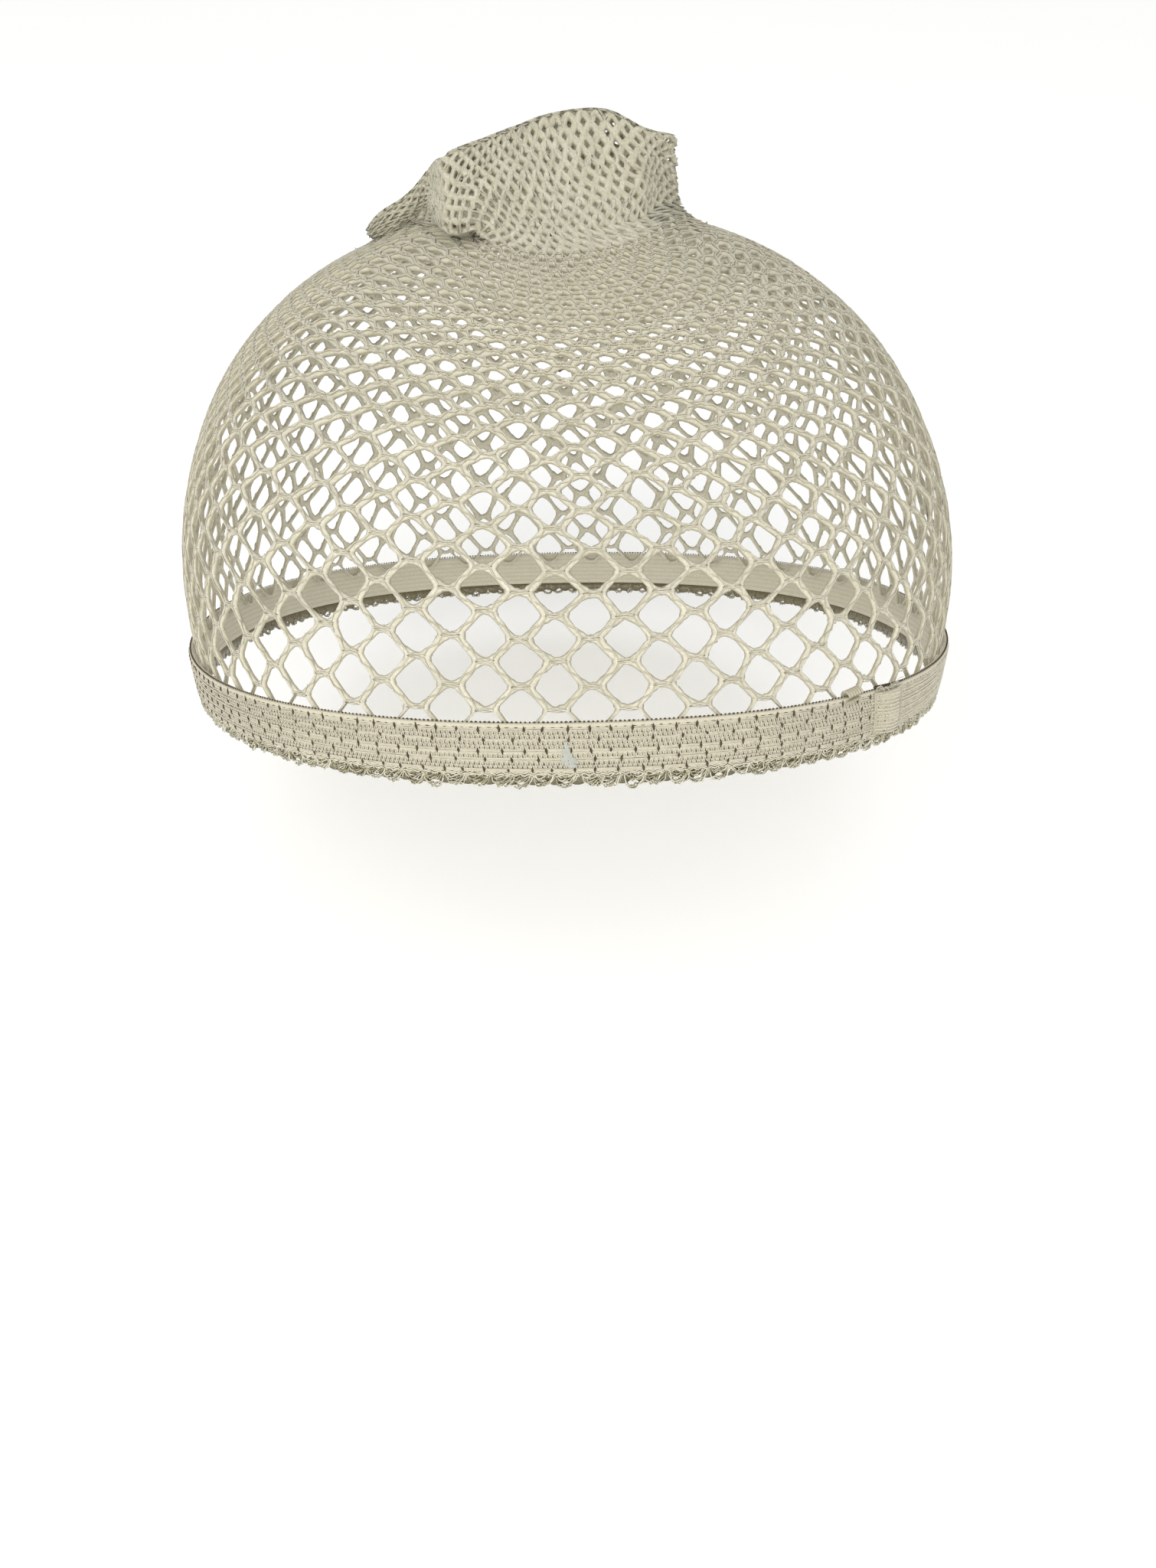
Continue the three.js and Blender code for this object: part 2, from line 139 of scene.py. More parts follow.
# Half the width of a strand in millimetres, and the half length of a joint in columns, by row
STRAND_COURSE = {
    "row": (0, 4, 6, 8, 10, 13, 17, 20, 22, 28),
    "half": (0.58, 0.61, 0.68, 0.82, 0.94, 0.96, 0.9, 0.8, 0.72, 0.7),
    "joint": (0.1, 0.095, 0.085, 0.07, 0.06, 0.05, 0.05, 0.05, 0.05, 0.05),
}

# The grid on which the net's surface is worked out once
GRID_STEP = 0.125
SHARE_STEPS = 720
ARC_STEPS = 160


def plan_size(x, y, offset):
    """The size of a level point in plan: 1 is on the head's widest outline."""
    half_width = (HEAD_HALF_WIDTH + offset) * (1 + HEAD_TAPER * y / HEAD_HALF_DEPTH)
    side = np.abs(x / half_width) ** PLAN_POWER
    front = np.abs(y / (HEAD_HALF_DEPTH + offset)) ** PLAN_POWER
    return (side + front) ** (1 / PLAN_POWER)


def head_size(points, offset):
    """The size of a point measured from the head's centre: 1 is on the head."""
    x, y, z = points[..., 0], points[..., 1], points[..., 2]
    rise = np.abs(z) / (np.where(z > 0, CROWN_RISE, NAPE_REACH) + offset)
    return (plan_size(x, y, offset) ** PROFILE_POWER + rise**PROFILE_POWER) ** (1 / PROFILE_POWER)


def crown_height(x, y, offset):
    level = np.clip(1 - plan_size(x, y, offset) ** PROFILE_POWER, 0, None)
    return (CROWN_RISE + offset) * level ** (1 / PROFILE_POWER)


def rim_point(angle, drop, offset):
    """A point of the tilted rim, drop below the net's lower edge."""
    angle, drop = np.broadcast_arrays(np.asarray(angle, float), np.asarray(drop, float))

    def along(reach):
        x = reach * np.sin(angle)
        y = -reach * np.cos(angle)
        z = -WIDEST_LEVEL - y * math.tan(RIM_TILT) - drop / math.cos(RIM_TILT)
        return np.stack([x, y, z], -1)

    near = np.zeros(angle.shape)
    far = np.full(angle.shape, 2 * HEAD_HALF_DEPTH)
    for _ in range(40):
        middle = (near + far) / 2
        inside = head_size(along(middle), offset) < 1
        near = np.where(inside, middle, near)
        far = np.where(inside, far, middle)
    return along(near)


RIM_ANGLES = np.linspace(0, 2 * math.pi, 721)
RIM_STEPS = np.linalg.norm(np.diff(rim_point(RIM_ANGLES, 0, 0), axis=0), axis=1)
RIM_LENGTHS = np.concatenate([[0], np.cumsum(RIM_STEPS)])
RIM_LENGTH = RIM_LENGTHS[-1]


def rim_angle(share):
    """The angle at a share of the rim's length."""
    turns = np.floor(share)
    part = np.interp((share - turns) * RIM_LENGTH, RIM_LENGTHS, RIM_ANGLES)
    return part + turns * 2 * math.pi


def station_value(column, across):
    """Reads one column of the station table, on a smooth curve through its rows."""
    places = np.array(CREST_STATIONS["across"], float)
    values = np.array(CREST_STATIONS[column], float)
    last = len(places) - 1
    before = np.maximum(np.arange(last + 1) - 1, 0)
    after = np.minimum(np.arange(last + 1) + 1, last)
    slopes = (values[after] - values[before]) / (places[after] - places[before])
    row = np.searchsorted(places[1:last], across, side="left")
    span = places[row + 1] - places[row]
    t = (across - places[row]) / span
    rise = t * t * (3 - 2 * t)
    leave = t * (1 - t) ** 2 * span * slopes[row]
    arrive = t * t * (t - 1) * span * slopes[row + 1]
    return values[row] * (1 - rise) + values[row + 1] * rise + leave + arrive


def crest_point(share, up, inset):
    """A point of the crest at a height share up, inset from its outer skin."""
    share, up = np.broadcast_arrays(np.asarray(share, float), np.asarray(up, float))
    turn = share - np.floor(share + 0.25)
    place = np.where(turn < 0.25, 4 * turn, 2 - 4 * turn)
    layer = np.where(turn < 0.25, 1, -1)
    up = up * (1 - CORNER_FALL * np.clip((-place - CORNER_START) / (1 - CORNER_START), 0, 1) ** 2)
    across = place * (1 - 2 * inset / CREST_WIDTH)
    tip = np.minimum(1, (1 - np.abs(place)) * TIP_SHARPNESS)
    lean = 1 - (1 - up) ** LEAN_POWER
    foot_front, foot_back = station_value("foot_front", across), station_value("foot_back", across)

    x = CREST_SIDE + CREST_WIDTH * (
        station_value("foot_x", across) * (1 - lean) + station_value("seam_x", across) * lean
    )
    centre = (foot_front + foot_back) / 2 * (1 - lean) + station_value("seam_front", across) * lean
    foot_half = CREST_DEPTH * (foot_front - foot_back) / 2
    # The two layers are drawn together where the seam closes them
    closing = smooth_step((up - 0.8) / 0.2) * 0.8
    half = foot_half * (1 - lean) + (SEAM_HALF - inset) * (1 - closing)
    y = CREST_SET_BACK - CREST_DEPTH * centre - layer * half * tip

    foot = crown_height(x, y, NET_WALL - inset)
    seam = CROWN_RISE + NET_WALL + CREST_HEIGHT * station_value("rise", across)
    climb = up**CLIMB_POWER
    point = np.stack([x, y, foot * (1 - climb) + seam * climb], -1)
    hold = np.sin(math.pi / 2 * np.minimum(1, up * FOLD_START)) * np.minimum(1, (1 - up) * FOLD_END)
    for fold in CREST_FOLDS:
        reach = ((place - fold.across) / fold.wide) ** 2 + ((up - fold.up) / fold.tall) ** 2
        push = CREST_HEIGHT * np.exp(-reach) * hold * tip * (layer == fold.layer)
        right, forward, raised = fold.push
        point += push[..., None] * np.array([right, -forward, raised])
    return point


def noise(size, *shape):
    """Random shifts of a size, in a table of the given shape."""
    return size * rng.normal(size=shape)


def smooth_step(value):
    value = np.clip(value, 0, 1)
    return value * value * (3 - 2 * value)


def unit(vectors):
    return vectors / np.maximum(np.linalg.norm(vectors, axis=-1, keepdims=True), 1e-9)


def dome_point(share, travel, inset):
    """A point of the dome, travel from 0 at the rim to 1 at the crest's foot."""
    offset = NET_WALL - inset
    start = unit(rim_point(rim_angle(share), 0, offset))
    end = unit(crest_point(share, 0, inset))
    angle = np.arccos(np.clip((start * end).sum(-1), -1, 1))[..., None]
    travel = np.asarray(travel)[..., None]
    point = np.sin((1 - travel) * angle) * start + np.sin(travel * angle) * end
    point = point * HEAD_HALF_DEPTH / np.sin(angle)
    for _ in range(5):
        point = point / head_size(point, offset)[..., None]
    return point


def linked(name, data):
    """A new object in the scene."""
    thing = bpy.data.objects.new(name, data)
    bpy.context.scene.collection.objects.link(thing)
    return thing


def place(points):
    """Turns millimetres from the head's centre into the row frame's metres."""
    return (points + np.array([0, 0, WIDEST_LEVEL])) * MM


def row_travel(row):
    """How far up the dome a row lies, as a share: the open rows at the band are the tallest."""
    steps = np.linspace(0, DOME_ROWS, 401)
    heights = CLOSE_ROW + (OPEN_ROW - CLOSE_ROW) * np.exp(-((steps / ROW_DECAY) ** DECAY_POWER))
    reach = np.concatenate([[0], np.cumsum((heights[1:] + heights[:-1]) / 2)])
    return np.interp(row, steps, reach / reach[-1])


def read_curve(places, reach, curve):
    """The points of a curve at places along it."""
    return np.stack([np.interp(places, reach, axis) for axis in curve.T], -1)


def spaced_by_length(curve, shares, start=0.0):
    """Points of each column of a grid of curves, at shares of its length past the start."""
    steps = np.linalg.norm(np.diff(curve, axis=0), axis=-1)
    reach = np.concatenate([np.zeros((1, curve.shape[1])), np.cumsum(steps, axis=0)])
    spaced = np.empty((len(shares), curve.shape[1], 3))
    for column in range(curve.shape[1]):
        places = start + (reach[-1, column] - start) * shares
        spaced[:, column] = read_curve(places, reach[:, column], curve[:, column])
    return spaced


def read_table(table, across, down, ease=np.asarray):
    """Reads a table between its entries. Its columns go round the cap."""
    down = np.clip(down, 0, len(table) - 1.001)
    left, low = np.floor(across).astype(int), np.floor(down).astype(int)
    part_across, part_down = ease(across - left), ease(down - low)
    if table.ndim == 3:
        part_across, part_down = part_across[..., None], part_down[..., None]
    left, right = left % table.shape[1], (left + 1) % table.shape[1]
    lower = table[low, left] * (1 - part_across) + table[low, right] * part_across
    upper = table[low + 1, left] * (1 - part_across) + table[low + 1, right] * part_across
    return lower * (1 - part_down) + upper * part_down


class Skin:
    """A surface round the cap, sampled by share and row, with its normals."""

    def __init__(self, rows, points):
        self.first = rows[0]
        self.step = rows[1] - rows[0]
        self.points = points
        self.columns = points.shape[1]
        along = (np.roll(points, -1, 1) - np.roll(points, 1, 1)) * self.columns / 2
        up = np.gradient(points, self.step, axis=0)
        self.normals = unit(np.cross(along, up))
        self.alongs = unit(along)
        self.pitch = np.linalg.norm(along, axis=-1) / CELLS_AROUND
        self.height = np.linalg.norm(up, axis=-1)

    def read(self, table, share, row):
        return read_table(table, share % 1.0 * self.columns, (row - self.first) / self.step)


def net_skin():
    """The middle of the net's wall, by share and row."""
    shares = np.arange(SHARE_STEPS) / SHARE_STEPS
    arc = np.linspace(0, 1, ARC_STEPS + 1)[:, None]
    inset = NET_WALL / 2
    hem_rows = np.arange(-HEM_ROWS, 0, GRID_STEP)
    dome_rows = np.arange(0, DOME_ROWS, GRID_STEP)
    crest_rows = np.arange(0, CREST_ROWS + GRID_STEP / 2, GRID_STEP)
    drop = -hem_rows[:, None] * OPEN_ROW - FIRST_JOINTS
    hem = rim_point(rim_angle(shares)[None], drop, inset)
    dome = spaced_by_length(dome_point(shares[None], arc, inset), row_travel(dome_rows), FIRST_JOINTS)
    crest = spaced_by_length(crest_point(shares[None], arc, inset), crest_rows / CREST_ROWS)
    crest = even_columns(crest, EVEN_COLUMNS * smooth_step(crest_rows / 4))
    rows = np.concatenate([hem_rows, dome_rows, DOME_ROWS + crest_rows])
    return Skin(rows, soften_foot(rows, np.concatenate([hem, dome, crest])))


def even_columns(rings, hold):
    """Slides each ring's points along it, so that its columns come nearer to one width."""
    shares = np.arange(rings.shape[1] + 1) / rings.shape[1]
    even = np.empty_like(rings)
    for row, ring in enumerate(rings):
        whole = np.concatenate([ring, ring[:1]])
        reach = np.concatenate([[0], np.cumsum(np.linalg.norm(np.diff(whole, axis=0), axis=1))])
        reach /= reach[-1]
        places = (1 - hold[row]) * reach[:-1] + hold[row] * shares[:-1]
        even[row] = read_curve(places, reach, whole)
    return even


def soften_foot(rows, points):
    """The crest rises from the dome in a sweep, not in a crease, but for the pocket at its front left."""
    turn = (np.arange(points.shape[1]) / points.shape[1] + 0.5) % 1.0 - 0.5
    pocket = 1 - POCKET_HOLD * np.exp(-(((turn - POCKET_SHARE) / POCKET_WIDE) ** 2))
    hold = np.exp(-(((rows - DOME_ROWS - 0.4) / SWEEP_ROWS) ** 2))[:, None, None] * pocket[:, None]
    for reach in (4, 1):
        for _ in range(24):
            middle = (points[: -2 * reach] + points[2 * reach :]) / 2
            points[reach:-reach] += hold[reach:-reach] * (middle - points[reach:-reach]) * 0.5
    return points


def band_skin():
    """The inner face of the elastic, by share and height above its top edge."""
    shares = np.arange(2 * SHARE_STEPS) / (2 * SHARE_STEPS)
    heights = np.arange(-13, 4.1, 0.5)
    return Skin(heights, rim_point(rim_angle(shares)[None], -heights[:, None], BAND_INSIDE))


surface = net_skin()
band = band_skin()


# Painted shade on a stitch's six corners: its top lightest, its underside a little darker, its ends and sides
# darkest.
GRAIN_PAINTED_SHADE = np.array([0.5, 0.6, 0, 0.6, 0.3, 0.5])


class Yarns:
    """Joins many yarns and stitches into one mesh."""

    def __init__(self):
        self.points, self.faces, self.tones, self.depths, self.count = [], [], [], [], 0

    def take(self, points, faces, tones, depths):
        self.points.append(points.reshape(-1, 3))
        self.faces.extend(face + self.count for face in faces)
        self.tones.append(tones.ravel())
        self.depths.append(depths.ravel())
        self.count += len(self.points[-1])

    def add(self, centre, normal, radius, sides, closed, tone=0.5, flat=1.0):
        """Yarns with their middles in centre (yarn, point, 3), flat times as thick as they are wide."""
        yarns, steps = centre.shape[:2]
        if closed:
            ahead, behind = np.roll(centre, -1, 1), np.roll(centre, 1, 1)
        else:
            ahead = np.concatenate([centre[:, 1:], centre[:, -1:]], 1)
            behind = np.concatenate([centre[:, :1], centre[:, :-1]], 1)
        run = unit(ahead - behind)
        aside = unit(np.cross(run, normal))
        out = np.cross(aside, run)
        angle = math.pi / 2 + np.arange(sides) * 2 * math.pi / sides
        ring = aside[:, :, None] * np.cos(angle)[:, None] + flat * out[:, :, None] * np.sin(angle)[:, None]
        radius = np.broadcast_to(np.asarray(radius, float), (yarns, steps))[:, :, None, None]

        index = np.arange(yarns * steps * sides).reshape(yarns, steps, sides)
        turned = np.roll(index, -1, 2)
        quads = np.stack([index, np.roll(index, -1, 1), np.roll(turned, -1, 1), turned], -1)
        faces = [quads.reshape(-1, 4)]
        if not closed:
            faces = [quads[:, :-1].reshape(-1, 4), index[:, 0], index[:, -1, ::-1]]
        tone = np.broadcast_to(np.asarray(tone, float).reshape(-1, 1, 1), index.shape)
        # Painted shade: each thread is darker on its flanks than on its top and underside.
        depth = np.broadcast_to(1 - np.abs(np.sin(angle)), index.shape)
        self.take(centre[:, :, None] + radius * ring, faces, tone, depth)

    def add_grains(self, centre, along, normal, length, width, height, tone, depths=GRAIN_PAINTED_SHADE):
        """Stitches pointed at both ends, with half sizes length, width and height."""
        normal = unit(normal)
        aside = unit(np.cross(along, normal))
        middle = [aside * width, normal * height, -aside * width, -normal * height]
        corners = [-along * length, *middle, along * length]
        points = np.stack([centre + corner for corner in corners], 1)
        base = np.arange(len(centre))[:, None] * 6
        near = [[0, 1 + k, 1 + (k + 1) % 4] for k in range(4)]
        far = [[5, 1 + (k + 1) % 4, 1 + k] for k in range(4)]
        faces = [base + np.array([face]) for face in near + far]
        tone = np.broadcast_to(np.asarray(tone, float).reshape(-1, 1), points.shape[:2])
        depth = np.broadcast_to(depths, points.shape[:2])
        self.take(points, faces, tone, depth)

    def mesh(self, name, material, slot, *replaced):
        """One smooth mesh, riding on the cap. Faces are arrays of corners, one row for each face."""
        mesh = bpy.data.meshes.new(name)
        corners = np.concatenate([face.ravel() for face in self.faces]).astype(np.int32)
        sizes = np.concatenate([np.full(len(face), face.shape[1]) for face in self.faces])
        starts = np.concatenate([[0], np.cumsum(sizes)[:-1]]).astype(np.int32)
        mesh.vertices.add(self.count)
        mesh.vertices.foreach_set("co", place(np.concatenate(self.points)).astype(np.float32).ravel())
        mesh.loops.add(len(corners))
        mesh.loops.foreach_set("vertex_index", corners)
        mesh.polygons.add(len(sizes))
        mesh.polygons.foreach_set("loop_start", starts)
        mesh.polygons.foreach_set("use_smooth", np.ones(len(sizes), bool))
        mesh.update(calc_edges=True)
        # The depth attribute is painted shade, with a random mottle on some pieces.
        for shade, values in (("tone", self.tones), ("depth", self.depths)):
            layer = mesh.attributes.new(shade, "FLOAT", "POINT")
            layer.data.foreach_set("value", np.concatenate(values).astype(np.float32))
        mesh.materials.append(material)
        piece = linked(name, mesh)
        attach(piece, "root")
        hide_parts(*replaced)


# Small uneven shifts of the net, read at any place of the lattice
SHIFT_ROWS = 2 * (DOME_ROWS + CREST_ROWS) + 8
shift_table = rng.normal(size=(SHIFT_ROWS, 2 * CELLS_AROUND, 2))


def net_shift(share, row):
    return read_table(shift_table, share % 1.0 * CELLS_AROUND * 2, 2 * row + 3, smooth_step)


NET_UNEVEN = 0.022


def net_place(share, row):
    """The share of the skin that a column of the net passes at a row, and how wide it is stretched."""
    fan = np.interp(row, COLUMN_COURSE["row"], COLUMN_COURSE["fan"])
    drift = np.interp(row, COLUMN_COURSE["row"], COLUMN_COURSE["drift"]) / CELLS_AROUND
    turn = 2 * math.pi * share
    twist = CREST_TWIST * smooth_step((row - DOME_ROWS) / CREST_ROWS)
    return share + fan * np.sin(turn) / (2 * math.pi) + drift - twist, 1 + fan * np.cos(turn)


def on_net(share, row, lift=0.0):
    """The place and normal of a lattice point, with the net's unevenness."""
    shift = net_shift(share, row) * NET_UNEVEN
    calm = smooth_step((row + 0.2) / 1.2)
    share, _ = net_place(share + shift[..., 0] * calm / CELLS_AROUND, row)
    row = row + shift[..., 1] * calm
    normal = unit(surface.read(surface.normals, share, row))
    return surface.read(surface.points, share, row) + lift * normal, normal


# A stretch of the net's half rows, and how finely its strands are drawn there
Zone = namedtuple("Zone", "first last corner_points wrap_points thick tone eye")
TOP_HALF_ROW = 2 * (DOME_ROWS + CREST_ROWS)
# A zone's tone is painted light: the open rows at the band are lightest, and the rows darken up to the crest.
ZONES = {
    "net_open": Zone(0, 12, 5, 6, 0.45, 0.9, 0.1),
    "net_dome": Zone(13, 26, 4, 5, 0.5, 0.75, 0.05),
    "net_crown": Zone(27, 40, 3, 4, 0.6, 0.5, 0.02),
    "net_crest": Zone(41, TOP_HALF_ROW, 3, 0, 0.75, 0.35, 0.02),
}
# A strand's section from its middle to the hole and back inside: share of its width, height, painted shade
# (darkest on the hole's edge)
STRAND_PROFILE = ((0, 0.96, 0), (0.6, 0.9, 0.05), (1, 0, 0.7), (0.6, -0.88, 0.2), (0, -0.96, 0))
WOBBLE = 0.07
TALLEST_HOLE = 1.15
TIP_ROUND = 0.26
TOP_ROUND = 0.55
WRAP_SWING = 0.42
WRAP_SHARE = 0.25
WRAP_LIFT = 0.95
BACK_LAYER = (0.17, 0.215)
BACK_CLOSED = 0.84
LEAST_STRAND, MOST_STRAND = 0.57, 0.58
EYE_SHADE_ROWS = 27
EYE_SHADE_OUT = 0.5


def lattice(half_rows, offset):
    """Share and row of lattice points: cells are half a column off the joints of their half row."""
    half_rows = np.asarray(half_rows)
    share = (np.arange(CELLS_AROUND)[None] + 0.5 * ((half_rows[:, None] + offset) % 2)) / CELLS_AROUND
    row = np.broadcast_to(half_rows[:, None] / 2, share.shape)
    return share.ravel(), row.ravel()


def cell_sizes(share, row):
    """A column's width, half a row's height, half the strand and half the joint, in millimetres."""
    turned, stretch = net_place(share, row)
    pitch = surface.read(surface.pitch, turned, row) * stretch
    rise = surface.read(surface.height, turned, row) / 2
    strand = np.interp(row, STRAND_COURSE["row"], STRAND_COURSE["half"])
    joint = np.interp(row, STRAND_COURSE["row"], STRAND_COURSE["joint"]) * pitch
    # The crest's back layer is drawn together, and stretched cells of the crown keep small holes
    turned = turned - np.round(turned)
    behind = smooth_step(np.maximum(-turned - BACK_LAYER[0], turned - BACK_LAYER[1]) / 0.04)
    closed = behind * smooth_step(row - DOME_ROWS - 0.5)
    least = LEAST_STRAND * smooth_step((row - 7) / 6) * (1 - closed) + BACK_CLOSED * closed
    most = MOST_STRAND * (1 - closed) + BACK_CLOSED * closed
    return pitch, rise, np.clip(strand, least * rise, most * rise), joint


def cell_corners(pitch, rise, inset, joint):
    """The six corners of a cell inset by its strands: flat at its joints, with a tip at each side."""
    run = np.maximum(pitch / 2 - 2 * joint, 0.1)
    slope = np.hypot(run, rise) / rise
    tip = np.maximum(pitch / 2 - joint - inset * slope, 0.16 * pitch)
    tall = np.where(inset > 0, np.minimum(rise - inset, TALLEST_HOLE * tip), rise)
    flat = np.where(inset > 0, np.clip(joint + inset * (run / rise - slope), 0.25 * tip, 0.7 * tip), joint)
    across = np.stack([tip, flat, -flat, -tip, -flat, flat], -1)
    up = np.stack([0 * tall, tall, tall, 0 * tall, -tall, -tall], -1)
    return np.stack([across, up], -1)


def rounded(corners, share, points):
    """The corners as arcs of a number of points, which start a share of a side off."""
    before, after = np.roll(corners, 1, 1), np.roll(corners, -1, 1)
    outline = []
    for corner in range(6):
        reach = share * (TIP_ROUND if corner % 3 == 0 else TOP_ROUND)
        middle = corners[:, corner]
        start = middle + (before[:, corner] - middle) * reach
        end = middle + (after[:, corner] - middle) * reach
        for step in range(points):
            t = (step + 0.5) / points
            outline.append((1 - t) ** 2 * start + 2 * t * (1 - t) * middle + t * t * end)
    return np.stack(outline, 1)


def add_cells(yarns, zone):
    """Each cell has its half of the strands round it, which meet those of the next cells."""
    share, row = lattice(np.arange(zone.first, zone.last + 1), 1)
    pitch, rise, strand, joint = cell_sizes(share, row)
    outer = cell_corners(pitch, rise, 0 * strand, joint)
    hole = cell_corners(pitch, rise, strand, joint)
    size = 6 * zone.corner_points
    wave = noise(WOBBLE, len(share), size, 2) * np.minimum(1, rise)[:, None, None]
    rings, tones = [], []
    for inset, height, _ in STRAND_PROFILE:
        corners = outer * (1 - inset) + hole * inset
        outline = rounded(corners, zone.eye + (1 - zone.eye) * inset, zone.corner_points) + wave * inset
        shares = share[:, None] + outline[..., 0] / pitch[:, None] / CELLS_AROUND
        rows = row[:, None] + outline[..., 1] / rise[:, None] / 2
        uneven = 1 + (noise(0.12, len(share), size, 1) if 0 < inset < 1 else 0)
        rings.append(on_net(shares, rows, zone.thick * height * uneven)[0])
        grain = noise(0.22, *rows.shape) if inset else 0
        tones.append(zone.tone + 0.12 * net_shift(shares, rows)[..., 1] + grain)
    points = np.stack(rings, 1)
    index = np.arange(points.size // 3).reshape(points.shape[:3])
    turned = np.roll(index, -1, 2)
    quads = np.stack([index[:, :-1], turned[:, :-1], turned[:, 1:], index[:, 1:]], -1)
    # Painted shade from the profile, darkest on the hole's edge.
    depth = np.broadcast_to(np.array(STRAND_PROFILE)[:, 2][:, None], index.shape)
    yarns.take(points, [quads.reshape(-1, 4)], np.clip(np.stack(tones, 1), 0, 1), depth)


def add_wraps(yarns, zone):
    """A finer yarn winds from side to side over each strand, between the joints."""
    share, row = lattice(np.arange(zone.first, min(zone.last + 1, TOP_HALF_ROW)), 0)
    steps = zone.wrap_points
    t = np.linspace(0, 1, steps)
    pitch, rise, strand, joint = (size[:, None] for size in cell_sizes(share, row + 0.25))
    odd = np.arange(steps) % 2 == 0
    swing = np.where(odd, 1, -1) * WRAP_SWING * strand
    along = np.hypot(pitch / 2, rise)
    for side in (-1, 1):
        middle = np.minimum(np.maximum(t * pitch / 2, joint), pitch / 2 - joint)
        middle = np.where((t == 0) | (t == 1), t * pitch / 2, middle)
        across = side * (middle - swing * rise / along)
        up = rise * np.clip((t - 0.1) / 0.8, 0, 1) + swing * (pitch / 2) / along
        shares = share[:, None] + across / pitch / CELLS_AROUND
        rows = row[:, None] + up / rise / 2
        points, normals = on_net(shares, rows, WRAP_LIFT * zone.thick)
        radius = WRAP_SHARE * strand * np.where(odd, 1.15, 0.85)
        yarns.add(points, normals, radius, 4, False, zone.tone + 0.4 * (rng.random(len(share)) - 0.4))


def add_joints(yarns, zone):
    """Stitches lie across each joint, one over the other, and leave small eyes between them."""
    share, row = lattice(np.arange(zone.first, zone.last + 1), 0)
    pitch, rise, strand, joint = cell_sizes(share, row)
    for side in (-1, 1):
        aim = side * (0.3 + noise(0.1, len(share)))
        lift = WRAP_LIFT * zone.thick
        middle, normal = on_net(share, row + aim * strand / rise / 2, lift)
        end, _ = on_net(share + 0.2 / CELLS_AROUND, row + (aim + 0.12 * side) * strand / rise / 2, lift)
        along = unit(end - middle)
        length = (joint + 0.9 * strand)[:, None]
        tone = zone.tone + 0.4 * (rng.random(len(share)) - 0.5)
        yarns.add_grains(middle, along, normal, length, 0.36 * strand[:, None], 0.22, tone)
        # In the lower rows dark grains sit in the eyes beside each joint: painted shade.
        if zone.first < EYE_SHADE_ROWS:
            beside = share + side * (joint + EYE_SHADE_OUT * strand) / pitch / CELLS_AROUND
            middle, normal = on_net(beside, row + aim * strand / rise / 4, 0.8 * zone.thick)
            size = 0.2 * (1 + noise(0.3, len(share), 1))
            yarns.add_grains(middle, along, normal, 1.5 * size, size, 0.16, 0, np.full(6, 1.4))


def make_net(material):
    for name, zone in ZONES.items():
        cells = Yarns()
        add_cells(cells, zone)
        cells.mesh(name + "_cells", material, "net_yarn", "net")
        if zone.wrap_points:
            wraps = Yarns()
            add_wraps(wraps, zone)
            add_joints(wraps, zone)
            wraps.mesh(name + "_wraps", material, "net_yarn", "net")


# The elastic band. Drops are millimetres down from its top edge, and outs are out from its inner face.
FACE_COLUMNS = 440
STITCH_COLUMNS = 1440
BAND_FACE = 0.88
STITCH_DROPS = (1.65, 2.3, 3.3, 3.95, 5.4, 6.65, 7.2)
TICK_WIDTH = 0.24
TickRow = namedtuple("TickRow", "drop pitch tall floats phase")
TICK_ROWS = (
    TickRow(1.1, 3.4, 0.55, (0.95, 1.3), 0.0),
    TickRow(2.78, 4.3, 0.4, (2.8,), 0.3),
    TickRow(4.62, 3.4, 0.5, (4.42, 4.82), 0.1),
    TickRow(6.05, 4.3, 0.45, (5.88, 6.22), 0.25),
    TickRow(7.8, 3.4, 0.45, (7.65, 7.98), 0.35),
)
SMOOTH_END = 0.2
ROLL_DROP = 0.36
ROLL_RADIUS = 0.2
ROLL_PITCH = 0.7


def on_band(share, drop, out):
    """The place of a band point, with its outward and sideways directions."""
    share, drop, out = np.broadcast_arrays(share, drop, out)
    normal = unit(band.read(band.normals, share, -drop))
    along = unit(band.read(band.alongs, share, -drop))
    return band.read(band.points, share, -drop) + out[..., None] * normal, normal, along


def strip_faces(columns, size, closed):
    """The faces of a strip of columns, with size points round it, capped if it is open."""
    index = np.arange(columns * size).reshape(columns, size)
    turned = np.roll(index, -1, 1)
    quads = np.stack([index, turned, np.roll(turned, -1, 0), np.roll(index, -1, 0)], -1)
    if closed:
        return [quads.reshape(-1, 4)]
    faces = [quads[:-1].reshape(-1, 4)]
    for end, order in ((0, 1), (-1, -1)):
        half = size // 2
        near, far = index[end, :half], index[end, : half - 1 : -1]
        faces.append(np.stack([near[:-1], far[:-1], far[1:], near[1:]][::order], -1))
    return faces


def ribbon(shares, drops, outs, closed):
    """A strip round the band: its section goes down the outer face and back up the inner one."""
    points, _, _ = on_band(shares[:, None], drops, outs)
    return points, strip_faces(*points.shape[:2], closed)


def add_strip(name, points, faces, tone, depth, *dress):
    yarns = Yarns()
    yarns.take(points, faces, tone, depth)
    yarns.mesh(name, *dress)


def sew(yarns, share, drop, out, down, aside, sizes, tone):
    """Stitches on the band, each pointing down and aside in the given shares."""
    place_at, normal, along = on_band(share, drop, out)
    slant = unit(down * np.cross(along, normal) + aside * along)
    yarns.add_grains(place_at, slant, normal, *sizes, tone)


